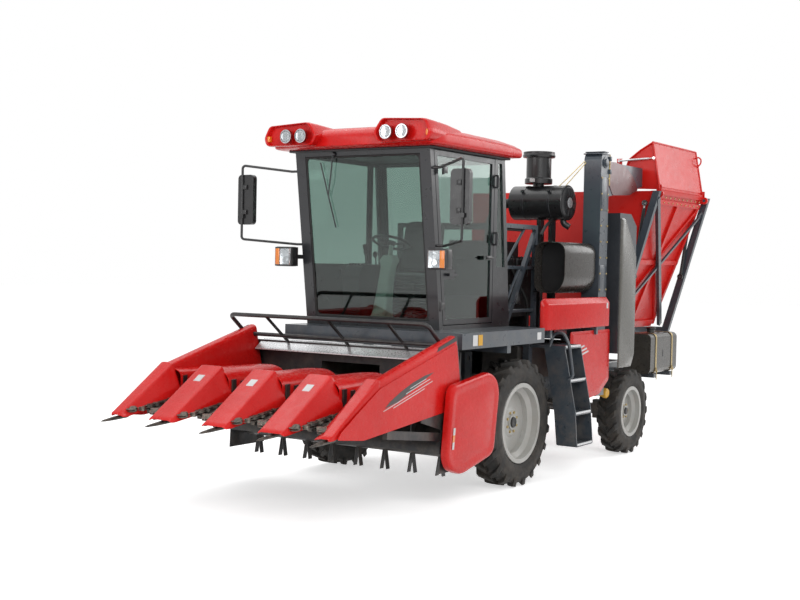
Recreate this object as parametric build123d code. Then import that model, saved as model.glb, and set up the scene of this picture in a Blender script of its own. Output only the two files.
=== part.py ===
from build123d import *
import math
import os

# Self-propelled four-row corn harvester, raised header, empty ear bin, parked on its four wheels.
# Millimetres. +X is forward, +Y is the machine's left, +Z is up. While it is modelled, x = 0 is the
# front axle and z = 0 the ground; place() then moves everything to the middle of the whole machine.

# Driving dimensions of the whole machine
FRONT_END_X = 3260
REAR_END_X = -4470
HALF_WIDTH = 1375
WHEELBASE = 2700
FRONT_HALF_TRACK = 985
REAR_HALF_TRACK = 985
ROWS = 4
ROW_SPACING = 580
DECK_TOP_Z = 1500
CAB_TOP_Z = 3140
BIN_FRONT_X = -2940
BIN_LENGTH = 1420

# Shared small values
RUNNING_GAP = 0.1
SEAT_GAP = 0.3
MOVING_GAP = 8
OVERRUN = 20
SHEET = 6


def block(x_span, y_span, z_span):
    """A box between two x, two y and two z values."""
    sizes = [abs(high - low) for low, high in (x_span, y_span, z_span)]
    centre = [(low + high) / 2 for low, high in (x_span, y_span, z_span)]
    return Pos(*centre) * Box(*sizes)


def prism(points, along):
    """A closed outline of 3-D points pushed along a vector."""
    return Solid.extrude(Face(Wire.make_polygon([Vector(*p) for p in points], close=True)), Vector(*along))


def side_prism(outline, y_span):
    """An outline of (x, z) points, between two y values."""
    low, high = y_span
    return prism([(x, low, z) for x, z in outline], (0, high - low, 0))


def end_prism(outline, x_span):
    """An outline of (y, z) points, between two x values."""
    low, high = x_span
    return prism([(low, y, z) for y, z in outline], (high - low, 0, 0))


def plan_prism(outline, z_span):
    """An outline of (x, y) points, between two heights."""
    low, high = z_span
    return prism([(x, y, low) for x, y in outline], (0, 0, high - low))


def rod(start, end, radius):
    """A round bar between two points."""
    start, end = Vector(*start), Vector(*end)
    length = (end - start).length
    return Plane(origin=start, z_dir=end - start) * Pos(0, 0, length / 2) * Cylinder(radius, length)


def pipe(start, end, radius, wall):
    return rod(start, end, radius) - rod(start, end, radius - wall)


def bar(start, end, width, depth, across=(0, 1, 0)):
    """A square-cut bar between two points; width lies along `across`."""
    start, end = Vector(*start), Vector(*end)
    plane = Plane(origin=start, x_dir=Vector(*across), z_dir=end - start)
    length = (end - start).length
    return plane * Pos(0, 0, length / 2) * Box(width, depth, length)


def bent_tube(points, bend, radius):
    """A round tube along straight runs joined by arcs."""
    path = FilletPolyline(*points, radius=bend)
    start = Plane(origin=path @ 0, z_dir=path % 0)
    return sweep(start * Circle(radius), path=path)


def drum(centre, radius, y_span, bore=0):
    """A cylinder about an axis along Y, with a bore if one is given."""
    x, z = centre
    solid = rod((x, y_span[0], z), (x, y_span[1], z), radius)
    if bore:
        solid -= rod((x, y_span[0] - OVERRUN, z), (x, y_span[1] + OVERRUN, z), bore)
    return solid


def both_sides(solid):
    return [solid, mirror(solid, about=Plane.XZ)]


def fuse(*pieces):
    flat = []
    for piece in pieces:
        flat.extend(piece if isinstance(piece, (list, tuple)) else [piece])
    whole = flat[0]
    for piece in flat[1:]:
        whole = whole + piece
    return whole


def members(*pieces):
    """Solids of one node that meet face to face: each is cut back to those before it."""
    flat = []
    for piece in pieces:
        flat.extend(piece if isinstance(piece, (list, tuple)) else [piece])
    solids = list(flat[0].solids())
    for piece in flat[1:]:
        solids += [left for solid in piece.solids() for left in solid.cut(*solids).solids()]
    return Compound(solids)


def apart(*pieces):
    """Several solids of one node that don't touch."""
    flat = []
    for piece in pieces:
        flat.extend(piece if isinstance(piece, (list, tuple)) else [piece])
    return Compound([solid for piece in flat for solid in piece.solids()])


nodes = {}


# Wheels: a revolved tyre, and a rim with a dished disc and a hub that is bored for the spindle
WHEELS = {
    # name: tyre radius, tyre width, rim flange radius, rim width, hub radius, spindle radius
    "front": (605, 290, 381, 262, 120, 55),
    "rear": (475, 240, 283, 215, 95, 32),
}
RIM_WALL = 14
RIM_WELL_DEPTH = 45
BEAD_DEPTH = 26
TYRE_WALL = 24
DISC_WALL = 12
HUB_REACH_IN = 100
HUB_CAP = 14
HUB_BARREL_SHARE = 0.6
BULGE_HEIGHT_SHARE = 0.42
SHOULDER_HEIGHT_SHARE = 0.90


def tyre(kind):
    radius, width, flange, rim_width, _, _ = WHEELS[kind]
    seat = flange - BEAD_DEPTH
    height = radius - seat
    half_bead = rim_width / 2 - RIM_WALL
    bulge = seat + BULGE_HEIGHT_SHARE * height
    shoulder = seat + SHOULDER_HEIGHT_SHARE * height
    half = width / 2
    tread_half = half - TYRE_WALL
    outer = [
        (half_bead - SEAT_GAP, seat), (half_bead - SEAT_GAP, flange + SEAT_GAP), (half, bulge),
        (half - TYRE_WALL / 4, shoulder), (tread_half, radius),
    ]
    inner = [(tread_half - TYRE_WALL, shoulder - TYRE_WALL), (half - TYRE_WALL, bulge), (half_bead - TYRE_WALL, seat)]
    loop = outer + [(-w, r) for w, r in reversed(outer)] + [(-w, r) for w, r in reversed(inner)] + inner
    face = Face(Wire.make_polygon([Vector(0, w, r) for w, r in loop], close=True))
    return revolve(face, axis=Axis.Y, revolution_arc=360)


def rim(kind):
    _, _, flange, rim_width, hub, spindle = WHEELS[kind]
    half = rim_width / 2
    seat = flange - BEAD_DEPTH - SEAT_GAP
    well = seat - RIM_WELL_DEPTH
    outer = [(half, flange), (half - RIM_WALL, flange), (half - RIM_WALL, seat), (half / 2, seat), (half / 3, well)]
    inner = [(half / 3 - RIM_WALL / 2, well - RIM_WALL), (half / 2, seat - RIM_WALL), (half, seat - RIM_WALL)]
    loop = outer + [(-w, r) for w, r in reversed(outer)] + [(-w, r) for w, r in reversed(inner)] + inner
    band = revolve(Face(Wire.make_polygon([Vector(0, w, r) for w, r in loop], close=True)), axis=Axis.Y)
    dish = [
        (0, 0), (DISC_WALL * 2, 0), (DISC_WALL * 2, hub), (DISC_WALL, hub + DISC_WALL * 2),
        (-DISC_WALL, well - RIM_WALL / 2), (-DISC_WALL * 2, well - RIM_WALL / 2), (-DISC_WALL, hub), (0, hub - DISC_WALL),
    ]
    disc = revolve(Face(Wire.make_polygon([Vector(0, w, r) for w, r in dish], close=True)), axis=Axis.Y)
    hub_body = rod((0, -HUB_REACH_IN, 0), (0, DISC_WALL * 2 + HUB_CAP, 0), hub * HUB_BARREL_SHARE)
    bore = rod((0, -HUB_REACH_IN - OVERRUN, 0), (0, 0, 0), spindle + RUNNING_GAP)
    return band + disc + hub_body - bore


AXLES = {
    # name: x, half track
    "front": (0, FRONT_HALF_TRACK),
    "rear": (-WHEELBASE, REAR_HALF_TRACK),
}
for kind, (axle_x, half_track) in AXLES.items():
    wheel_z = WHEELS[kind][0]
    parts_of_wheel = {"tyre": tyre(kind), "rim": rim(kind)}
    for side, sign in (("left", 1), ("right", -1)):
        for piece, solid in parts_of_wheel.items():
            turned = solid if sign > 0 else mirror(solid, about=Plane.XZ)
            nodes[f"{piece}_{kind}_{side}"] = Pos(axle_x, sign * half_track, wheel_z) * turned


# Front drive axle: square tube, gearbox, two final-drive cases and their spindles
FRONT_AXLE_Z = WHEELS["front"][0]
FRONT_SPINDLE_R = WHEELS["front"][5]
AXLE_TUBE = 130
CASE_Y = (720, 836)
CASE_R = 150
GEARBOX_X = (-330, -AXLE_TUBE / 2)
GEARBOX_HALF_Y = 190
GEARBOX_RISE_SHARE = 0.8
RAIL_BOTTOM_Z = 800
RAIL_TOP_Z = 940
RAIL_Y = (380, 460)
axle_top_z = FRONT_AXLE_Z + AXLE_TUBE / 2
axle_saddle = block((-AXLE_TUBE, AXLE_TUBE), RAIL_Y, (axle_top_z - OVERRUN, RAIL_BOTTOM_Z))
front_axle = fuse(
    block((-AXLE_TUBE / 2, AXLE_TUBE / 2), (-CASE_Y[0], CASE_Y[0]), (FRONT_AXLE_Z - AXLE_TUBE / 2, axle_top_z)),
    block(GEARBOX_X, (-GEARBOX_HALF_Y, GEARBOX_HALF_Y), (FRONT_AXLE_Z - AXLE_TUBE, FRONT_AXLE_Z + AXLE_TUBE * GEARBOX_RISE_SHARE)),
    both_sides(drum((0, FRONT_AXLE_Z), CASE_R, CASE_Y)),
    both_sides(rod((0, CASE_Y[1], FRONT_AXLE_Z), (0, FRONT_HALF_TRACK - SEAT_GAP, FRONT_AXLE_Z), FRONT_SPINDLE_R)),
    both_sides(axle_saddle),
)
nodes["front_axle"] = front_axle


# Rear steering axle: a beam on a centre pivot, knuckles on king pins, and a through steering rod
REAR_X = -WHEELBASE
REAR_AXLE_Z = WHEELS["rear"][0]
REAR_SPINDLE_R = WHEELS["rear"][5]
BEAM_HALF = 55
KING_PIN_Y = REAR_HALF_TRACK - 165
KING_PIN_R = 24
KING_PIN_HALF_HEIGHT = 105
YOKE = 42
KNUCKLE_HALF = 48
STEER_ARM_X = 170
STEER_ROD_Z = REAR_AXLE_Z + 10
STEER_ROD_R = 16
STEER_BARREL_R = 32
STEER_BARREL_HALF = 190
PIVOT_HALF_X = 140
PIVOT_HALF_Y = 70
beam_end_y = KING_PIN_Y - KNUCKLE_HALF - MOVING_GAP
yoke_y = (beam_end_y - 3 * YOKE / 2, KING_PIN_Y + BEAM_HALF)
yoke_inner = KING_PIN_HALF_HEIGHT - YOKE
yokes = [
    block((REAR_X - BEAM_HALF, REAR_X + BEAM_HALF), yoke_y, (REAR_AXLE_Z + low, REAR_AXLE_Z + high))
    for low, high in ((-KING_PIN_HALF_HEIGHT, -yoke_inner), (yoke_inner, KING_PIN_HALF_HEIGHT))
]
king_pin = rod(
    (REAR_X, KING_PIN_Y, REAR_AXLE_Z - KING_PIN_HALF_HEIGHT), (REAR_X, KING_PIN_Y, REAR_AXLE_Z + KING_PIN_HALF_HEIGHT),
    KING_PIN_R,
)
yoke_web = block(
    (REAR_X - BEAM_HALF, REAR_X + BEAM_HALF), (beam_end_y - 3 * YOKE, beam_end_y - YOKE),
    (REAR_AXLE_Z - KING_PIN_HALF_HEIGHT, REAR_AXLE_Z + KING_PIN_HALF_HEIGHT),
)
steer_x = REAR_X + BEAM_HALF + STEER_ARM_X / 2
barrel_shape = rod((steer_x, -STEER_BARREL_HALF, STEER_ROD_Z), (steer_x, STEER_BARREL_HALF, STEER_ROD_Z), STEER_BARREL_R)
barrel_bore = rod(
    (steer_x, -STEER_BARREL_HALF - OVERRUN, STEER_ROD_Z), (steer_x, STEER_BARREL_HALF + OVERRUN, STEER_ROD_Z),
    STEER_ROD_R + RUNNING_GAP,
)
barrel_feet = [
    block((REAR_X, steer_x), (y - YOKE / 2, y + YOKE / 2), (STEER_ROD_Z - YOKE / 2, STEER_ROD_Z + YOKE / 2))
    for y in (-STEER_BARREL_HALF + YOKE, STEER_BARREL_HALF - YOKE)
]
rear_axle = fuse(
    block((REAR_X - BEAM_HALF, REAR_X + BEAM_HALF), (-beam_end_y + YOKE, beam_end_y - YOKE),
          (REAR_AXLE_Z - BEAM_HALF, REAR_AXLE_Z + BEAM_HALF)),
    [both_sides(yoke) for yoke in yokes][0], [both_sides(yoke) for yoke in yokes][1],
    both_sides(yoke_web), both_sides(king_pin), barrel_shape, barrel_feet,
) - barrel_bore
nodes["rear_axle"] = rear_axle
knuckle_height = yoke_inner - 1
knuckle_body = block(
    (REAR_X - KNUCKLE_HALF, REAR_X + KNUCKLE_HALF), (KING_PIN_Y - KNUCKLE_HALF, KING_PIN_Y + KNUCKLE_HALF),
    (REAR_AXLE_Z - knuckle_height, REAR_AXLE_Z + knuckle_height),
)
knuckle_spindle = rod(
    (REAR_X, KING_PIN_Y, REAR_AXLE_Z), (REAR_X, REAR_HALF_TRACK - SEAT_GAP, REAR_AXLE_Z), REAR_SPINDLE_R
)
steer_arm = block(
    (REAR_X, REAR_X + KNUCKLE_HALF + STEER_ARM_X / 2), (KING_PIN_Y - YOKE, KING_PIN_Y - YOKE / 4),
    (REAR_AXLE_Z - YOKE, REAR_AXLE_Z - YOKE / 4),
)
knuckle = knuckle_body + knuckle_spindle + steer_arm - rod(
    (REAR_X, KING_PIN_Y, REAR_AXLE_Z - KING_PIN_HALF_HEIGHT), (REAR_X, KING_PIN_Y, REAR_AXLE_Z + KING_PIN_HALF_HEIGHT),
    KING_PIN_R + RUNNING_GAP,
)
nodes["knuckle_left"] = knuckle
nodes["knuckle_right"] = mirror(knuckle, about=Plane.XZ)
STEER_ROD_HALF = 560
nodes["steering_rod"] = rod(
    (steer_x, -STEER_ROD_HALF, STEER_ROD_Z), (steer_x, STEER_ROD_HALF, STEER_ROD_Z), STEER_ROD_R
)


# Chassis: two box rails, cross members, uprights, bearers for the deck and the engine floor
RAIL_FRONT_X = 420
CROSS_X = (-4320, -3500, -2100, -1300)
CROSS_HALF = 40
UPRIGHT = 70
BEARER_TOP_Z = 1360
OUTRIGGER_Z = (860, 940)
UPRIGHTS = [
    # x, outer y, bearer right end y, bearer left end y
    (350, RAIL_Y[1], -790, 1150),
    (-700, 830, -830, 830),
    (-2060, 830, -830, 830),
]
FLOOR_X = (-2095, -480)
FLOOR_Z = (BEARER_TOP_Z, 1385)
FLOOR_HALF_Y = 830
TANK_BEHIND_AXLE = 400
TANK_LENGTH = 820
TANK_BRACKET_INSET = 160
TANK_X = (REAR_X - TANK_BEHIND_AXLE - TANK_LENGTH, REAR_X - TANK_BEHIND_AXLE)
TANK_BRACKET_X = (TANK_X[1] - TANK_BRACKET_INSET, TANK_X[0] + TANK_BRACKET_INSET)
TANK_BRACKET_Y = 1140
TANK_BRACKET_Z = (822, 868)
FRAME_POST_X = (-455, -1130)
FRAME_POST_Y = 640
FRAME_TOP_Z = 2520
FRAME_TUBE = 45
TOW_X = (REAR_END_X + 2 * SHEET, REAR_END_X + 160)
TOW_BORE_R = 15
TOW_PLATE_Z = ((770, 790), (850, 870))
rails = both_sides(block((REAR_END_X, RAIL_FRONT_X), RAIL_Y, (RAIL_BOTTOM_Z, RAIL_TOP_Z)))
cross_members = [
    block((x - CROSS_HALF, x + CROSS_HALF), (-RAIL_Y[0] - OVERRUN, RAIL_Y[0] + OVERRUN),
          (RAIL_BOTTOM_Z + OVERRUN, RAIL_TOP_Z - OVERRUN))
    for x in CROSS_X
]
uprights = []
for x, outer_y, right_y, left_y in UPRIGHTS:
    span = (x - UPRIGHT / 2, x + UPRIGHT / 2)
    uprights += both_sides(block(span, (outer_y - UPRIGHT, outer_y), (OUTRIGGER_Z[0], BEARER_TOP_Z)))
    uprights += both_sides(block(span, (RAIL_Y[0] + OVERRUN, outer_y), OUTRIGGER_Z))
    uprights.append(block(span, (right_y, left_y), (BEARER_TOP_Z - UPRIGHT, BEARER_TOP_Z)))
engine_floor = block(FLOOR_X, (-FLOOR_HALF_Y, FLOOR_HALF_Y), FLOOR_Z)
tank_brackets = [
    block((x - UPRIGHT / 2, x + UPRIGHT / 2), (RAIL_Y[0] + OVERRUN, TANK_BRACKET_Y), TANK_BRACKET_Z)
    for x in TANK_BRACKET_X
]
frame_tubes = []
for x in FRAME_POST_X:
    frame_tubes += both_sides(block((x - FRAME_TUBE, x), (FRAME_POST_Y - FRAME_TUBE, FRAME_POST_Y),
                                    (FLOOR_Z[0], FRAME_TOP_Z)))
    frame_tubes.append(block((x - FRAME_TUBE, x), (-FRAME_POST_Y, FRAME_POST_Y),
                             (FRAME_TOP_Z - FRAME_TUBE, FRAME_TOP_Z)))
frame_tubes += both_sides(block((FRAME_POST_X[1], FRAME_POST_X[0]), (FRAME_POST_Y - FRAME_TUBE, FRAME_POST_Y),
                                (FRAME_TOP_Z - FRAME_TUBE, FRAME_TOP_Z)))
frame_tubes += both_sides(bar(
    (FRAME_POST_X[0] - FRAME_TUBE, FRAME_POST_Y - FRAME_TUBE / 2, FLOOR_Z[1] + FRAME_TUBE),
    (FRAME_POST_X[1], FRAME_POST_Y - FRAME_TUBE / 2, FRAME_TOP_Z - 2 * FRAME_TUBE), FRAME_TUBE, FRAME_TUBE,
))
PIVOT_PLATE = 60
pivot_bracket = []
for low, high in ((-PIVOT_HALF_X, -BEAM_HALF - SEAT_GAP), (BEAM_HALF + SEAT_GAP, PIVOT_HALF_X)):
    pivot_bracket.append(block((REAR_X + low, REAR_X + high), (-RAIL_Y[0] - OVERRUN, RAIL_Y[0] + OVERRUN),
                               (RAIL_BOTTOM_Z, RAIL_BOTTOM_Z + PIVOT_PLATE)))
pivot_bracket.append(block((REAR_X - PIVOT_HALF_X, REAR_X - BEAM_HALF - SEAT_GAP), (-PIVOT_HALF_Y, PIVOT_HALF_Y),
                           (REAR_AXLE_Z - BEAM_HALF, RAIL_BOTTOM_Z + PIVOT_PLATE)))
pivot_bracket.append(rod((REAR_X - BEAM_HALF - PIVOT_PLATE, 0, REAR_AXLE_Z), (REAR_X + BEAM_HALF, 0, REAR_AXLE_Z),
                         PIVOT_PLATE / 2))
tow_hitch = [block(TOW_X, (-PIVOT_PLATE, PIVOT_PLATE), z_span) for z_span in TOW_PLATE_Z]
tow_hitch.append(block((TOW_X[1] - CROSS_HALF, TOW_X[1]), (-PIVOT_PLATE, PIVOT_PLATE),
                       (TOW_PLATE_Z[0][0], TOW_PLATE_Z[1][1])))
tow_x = TOW_X[0] + PIVOT_PLATE / 2
tow_bore = rod((tow_x, 0, TOW_PLATE_Z[0][0] - OVERRUN), (tow_x, 0, TOW_PLATE_Z[1][1] + OVERRUN), TOW_BORE_R)
tow_hitch = [plate - tow_bore for plate in tow_hitch]
chassis = [*rails, *cross_members, *uprights, engine_floor, *tank_brackets, *frame_tubes, *pivot_bracket, *tow_hitch]
nodes["rear_axle"] = rear_axle - rod((REAR_X - PIVOT_HALF_X, 0, REAR_AXLE_Z), (REAR_X + PIVOT_HALF_X, 0, REAR_AXLE_Z),
                                     PIVOT_PLATE / 2 + RUNNING_GAP)


# Operator's deck: a tread plate with a skirt all round, and the ladder on the left
DECK_X = (-350, 1220)
DECK_Y = (-790, 1160)
DECK_PLATE = 10
SKIRT = 8
deck_shell = block(DECK_X, DECK_Y, (BEARER_TOP_Z, DECK_TOP_Z)) - block(
    (DECK_X[0] + SKIRT, DECK_X[1] - SKIRT), (DECK_Y[0] + SKIRT, DECK_Y[1] - SKIRT),
    (BEARER_TOP_Z - OVERRUN, DECK_TOP_Z - DECK_PLATE),
)
deck_ribs = [
    block((x, x + SKIRT), (DECK_Y[0] + SKIRT / 2, DECK_Y[1] - SKIRT / 2), (BEARER_TOP_Z, DECK_TOP_Z - DECK_PLATE / 2))
    for x in (FRAME_POST_X[0] + 400, 350, 760)
]
nodes["operator_deck"] = fuse(deck_shell, deck_ribs)


# Access ladder: two cheeks that bend outward at mid height, three treads, a landing and two handrails
CHEEK = 12
CHEEK_DEPTH = 60
CHEEKS_X = (-690, -1050)
CHEEK_POINTS = [
    # y, z down the middle of a cheek
    (HALF_WIDTH - 315, 1300),
    (HALF_WIDTH - 120, 640),
    (HALF_WIDTH - 85, 330),
]
TREADS_Z = (330, 640, 980)
TREAD_DEPTH = 190
LANDING_Z = 1290
LANDING_Y = (830 + SEAT_GAP, HALF_WIDTH - 150)
HANDRAIL_R = 16
HANDRAIL_TOP_Z = 2050
UPPER_COVER_X = (-1900, -400)
UPPER_COVER_Z = (1460, 1780)


def tread_y(z):
    """Middle of the ladder in y at a height."""
    for (high_y, high_z), (low_y, low_z) in zip(CHEEK_POINTS, CHEEK_POINTS[1:]):
        if z >= low_z:
            return low_y + (high_y - low_y) * (z - low_z) / (high_z - low_z)
    return CHEEK_POINTS[-1][0]


ladder = []
for x in CHEEKS_X:
    outline = [(y - CHEEK_DEPTH, z) for y, z in CHEEK_POINTS] + [(y + CHEEK_DEPTH, z) for y, z in reversed(CHEEK_POINTS)]
    ladder.append(end_prism(outline, (x - CHEEK / 2, x + CHEEK / 2)))
for z in TREADS_Z:
    middle = tread_y(z)
    outer = min(middle + TREAD_DEPTH / 2, HALF_WIDTH)
    ladder.append(block((CHEEKS_X[1], CHEEKS_X[0]), (outer - TREAD_DEPTH, outer), (z - CHEEK, z + CHEEK * 2)))
ladder.append(block((CHEEKS_X[1], CHEEKS_X[0]), LANDING_Y, (LANDING_Z - CHEEK, LANDING_Z + CHEEK)))
for x in CHEEKS_X:
    ladder.append(bent_tube(
        [(x, LANDING_Y[1] - 25, LANDING_Z), (x, CHEEK_POINTS[-1][0], HANDRAIL_TOP_Z - 290), (x, LANDING_Y[1], HANDRAIL_TOP_Z),
         (x, 1112, HANDRAIL_TOP_Z - 30), (x, 1112, UPPER_COVER_Z[1] + SEAT_GAP)], 40, HANDRAIL_R,
    ))
nodes["access_ladder"] = fuse(ladder)


# Cab: a hollow box that leans forward, cut away for its glass and its door
CAB_HALF = 750
CAB_WALL = 38
CAB_SIDE = [
    # x, z round the side of the cab
    (930, DECK_TOP_Z),
    (1160, CAB_TOP_Z),
    (-220, CAB_TOP_Z),
    (-380, DECK_TOP_Z),
]
CAB_FLOOR = 60
SILL_Z = 1580
HEAD_Z = 3080
PILLAR_Y = 640
DOOR_REAR_X = -30
GLASS = 6
GLASS_INSET = 14


def cab_front(z):
    """The x of the cab's front face at a height."""
    (low_x, low_z), (high_x, high_z) = CAB_SIDE[0], CAB_SIDE[1]
    return low_x + (high_x - low_x) * (z - low_z) / (high_z - low_z)


def cab_rear(z):
    (high_x, high_z), (low_x, low_z) = CAB_SIDE[2], CAB_SIDE[3]
    return low_x + (high_x - low_x) * (z - low_z) / (high_z - low_z)


def cab_slice(front_inset, rear_inset, z_span, y_span):
    """A slab of the cab's side outline between two heights, set in from its front and rear faces."""
    low, high = z_span
    return side_prism([
        (cab_front(low) - front_inset, low), (cab_front(high) - front_inset, high),
        (cab_rear(high) + rear_inset, high), (cab_rear(low) + rear_inset, low),
    ], y_span)


def cab_opening(x_back, front_inset, z_span, y_span):
    """An opening in the cab's side from a plumb rear edge to the leaning front pillar."""
    low, high = z_span
    return side_prism([
        (cab_front(low) - front_inset, low), (cab_front(high) - front_inset, high), (x_back, high), (x_back, low),
    ], y_span)


DOOR_Z = (1540, 3120)
DOOR_FRONT_INSET = 62
cab_shell = cab_slice(0, 0, (DECK_TOP_Z, CAB_TOP_Z), (-CAB_HALF, CAB_HALF))
cab_shell -= cab_slice(CAB_WALL, CAB_WALL, (DECK_TOP_Z + CAB_FLOOR, CAB_TOP_Z + OVERRUN),
                       (-CAB_HALF + CAB_WALL, CAB_HALF - CAB_WALL))
cab_shell -= cab_slice(-OVERRUN, (cab_front(SILL_Z) - cab_rear(SILL_Z)) / 2, (SILL_Z, HEAD_Z), (-PILLAR_Y, PILLAR_Y))
cab_shell -= cab_slice((cab_front(SILL_Z) - cab_rear(SILL_Z)) / 2, -OVERRUN, (2150, HEAD_Z), (-PILLAR_Y, PILLAR_Y))
door_opening = cab_opening(DOOR_REAR_X, DOOR_FRONT_INSET, DOOR_Z, (CAB_HALF - 2 * CAB_WALL, CAB_HALF + OVERRUN))
side_window = cab_opening(DOOR_REAR_X, DOOR_FRONT_INSET, (2080, HEAD_Z), (-CAB_HALF - OVERRUN, -CAB_HALF + 2 * CAB_WALL))
rear_quarter = [
    side_prism([(cab_rear(z) + 60, z) for z in (2080, HEAD_Z)] + [(DOOR_REAR_X - 60, z) for z in (HEAD_Z, 2080)], y_span)
    for y_span in ((-CAB_HALF - OVERRUN, -CAB_HALF + 2 * CAB_WALL), (CAB_HALF - 2 * CAB_WALL, CAB_HALF + OVERRUN))
]
cab_shell = cab_shell - door_opening - side_window - rear_quarter[0] - rear_quarter[1]
nodes["cab_shell"] = cab_shell

windscreen = cab_slice(GLASS_INSET, 0, (SILL_Z, HEAD_Z), (-PILLAR_Y, PILLAR_Y)) - cab_slice(
    GLASS_INSET + GLASS, -OVERRUN, (SILL_Z - OVERRUN, HEAD_Z + OVERRUN), (-CAB_HALF, CAB_HALF))
rear_glass = cab_slice(0, GLASS_INSET, (2150, HEAD_Z), (-PILLAR_Y, PILLAR_Y)) - cab_slice(
    -OVERRUN, GLASS_INSET + GLASS, (2150 - OVERRUN, HEAD_Z + OVERRUN), (-CAB_HALF, CAB_HALF))
side_glass_y = (-CAB_HALF + GLASS_INSET, -CAB_HALF + GLASS_INSET + GLASS)
side_glass = cab_opening(DOOR_REAR_X, DOOR_FRONT_INSET, (2080, HEAD_Z), side_glass_y)
quarter_glass = [
    side_prism([(cab_rear(z) + 60, z) for z in (2080, HEAD_Z)] + [(DOOR_REAR_X - 60, z) for z in (HEAD_Z, 2080)], y_span)
    for y_span in (side_glass_y, (-side_glass_y[1], -side_glass_y[0]))
]
nodes["cab_glass"] = apart(windscreen, rear_glass, side_glass, quarter_glass)

door_y = (CAB_HALF - CAB_WALL + SHEET, CAB_HALF)
DOOR_BORDER = 55
door_outline = cab_opening(DOOR_REAR_X + MOVING_GAP, DOOR_FRONT_INSET + MOVING_GAP,
                           (DOOR_Z[0] + MOVING_GAP, DOOR_Z[1] - MOVING_GAP), door_y)
pane = cab_opening(DOOR_REAR_X + DOOR_BORDER, DOOR_FRONT_INSET + DOOR_BORDER,
                   (DOOR_Z[0] + DOOR_BORDER, DOOR_Z[1] - DOOR_BORDER), (door_y[0] - OVERRUN, door_y[1] + OVERRUN))
door_middle = (door_y[0] + door_y[1]) / 2
HANDLE_Z = 1990
handle = block((690, 830), (door_y[1], door_y[1] + 34), (HANDLE_Z, HANDLE_Z + 26)) + block(
    (690, 716), (door_y[1] - SHEET, door_y[1] + 10), (HANDLE_Z, HANDLE_Z + 26)) + block(
    (804, 830), (door_y[1] - SHEET, door_y[1] + 10), (HANDLE_Z, HANDLE_Z + 26))
handle_plate = block((690, 900), door_y, (HANDLE_Z - 30, HANDLE_Z + 60))
DOOR_HINGE = (-45, 775)
DOOR_HINGE_Z = (2300, 2850)
HINGE_LENGTH = 100
HINGE_R = 14
HINGE_PIN_R = 8
door_hinge_x, door_hinge_y = DOOR_HINGE
hinge_fixed, hinge_moving, hinge_bore = [], [], []
for low in DOOR_HINGE_Z:
    high = low + HINGE_LENGTH
    hinge_fixed.append(rod((door_hinge_x, door_hinge_y, low - 12), (door_hinge_x, door_hinge_y, high + 12), HINGE_PIN_R))
    for z_span in ((low - 14, low - SEAT_GAP), (high + SEAT_GAP, high + 14)):
        hinge_fixed.append(block((door_hinge_x - 14, door_hinge_x + 14), (CAB_HALF - 3, door_hinge_y + 12), z_span))
    hinge_moving.append(rod((door_hinge_x, door_hinge_y, low), (door_hinge_x, door_hinge_y, high), HINGE_R))
    hinge_moving.append(block((door_hinge_x, DOOR_REAR_X + 45), (CAB_HALF + 7, door_hinge_y), (low + 10, high - 10)))
    hinge_moving.append(block((DOOR_REAR_X + 12, DOOR_REAR_X + 45), (CAB_HALF - 4, door_hinge_y), (low + 10, high - 10)))
    hinge_bore.append(rod((door_hinge_x, door_hinge_y, low - OVERRUN), (door_hinge_x, door_hinge_y, high + OVERRUN),
                          HINGE_PIN_R + RUNNING_GAP))
nodes["cab_shell"] = fuse(nodes["cab_shell"], hinge_fixed)
cab_door = fuse(door_outline - pane, handle_plate, handle, hinge_moving)
for bore in hinge_bore:
    cab_door -= bore
nodes["cab_door"] = cab_door
nodes["door_glass"] = pane & block((-1000, 2000), (door_middle - GLASS / 2, door_middle + GLASS / 2), DOOR_Z)
nodes["door_glass"] = nodes["door_glass"] - handle_plate


# Cab inside: seat, console, steering column and wheel, floor mat
seat = fuse(
    block((60, 500), (-240, 240), (1900, 2000)),
    side_prism([(60, 1950), (150, 1950), (60, 2560), (-20, 2560)], (-230, 230)),
    block((140, 420), (-160, 160), (DECK_TOP_Z + CAB_FLOOR, 1900)),
)
console = block((60, 640), (-560, -360), (DECK_TOP_Z + CAB_FLOOR, 2080))
column = fuse(
    bar((760, 0, DECK_TOP_Z + CAB_FLOOR), (640, 0, 2160), 150, 110),
    rod((640, 0, 2140), (610, 0, 2290), 22),
)
wheel_plane = Plane(origin=(610, 0, 2290), z_dir=(-0.35, 0, 1))
column -= block((0, 1200), (-300, 300), (DECK_TOP_Z, DECK_TOP_Z + CAB_FLOOR))
steering_wheel = wheel_plane * Torus(185, 14) + wheel_plane * Box(360, 30, 16) + wheel_plane * Box(30, 360, 16)
nodes["cab_interior"] = apart(seat, console, fuse(column, steering_wheel))


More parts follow.
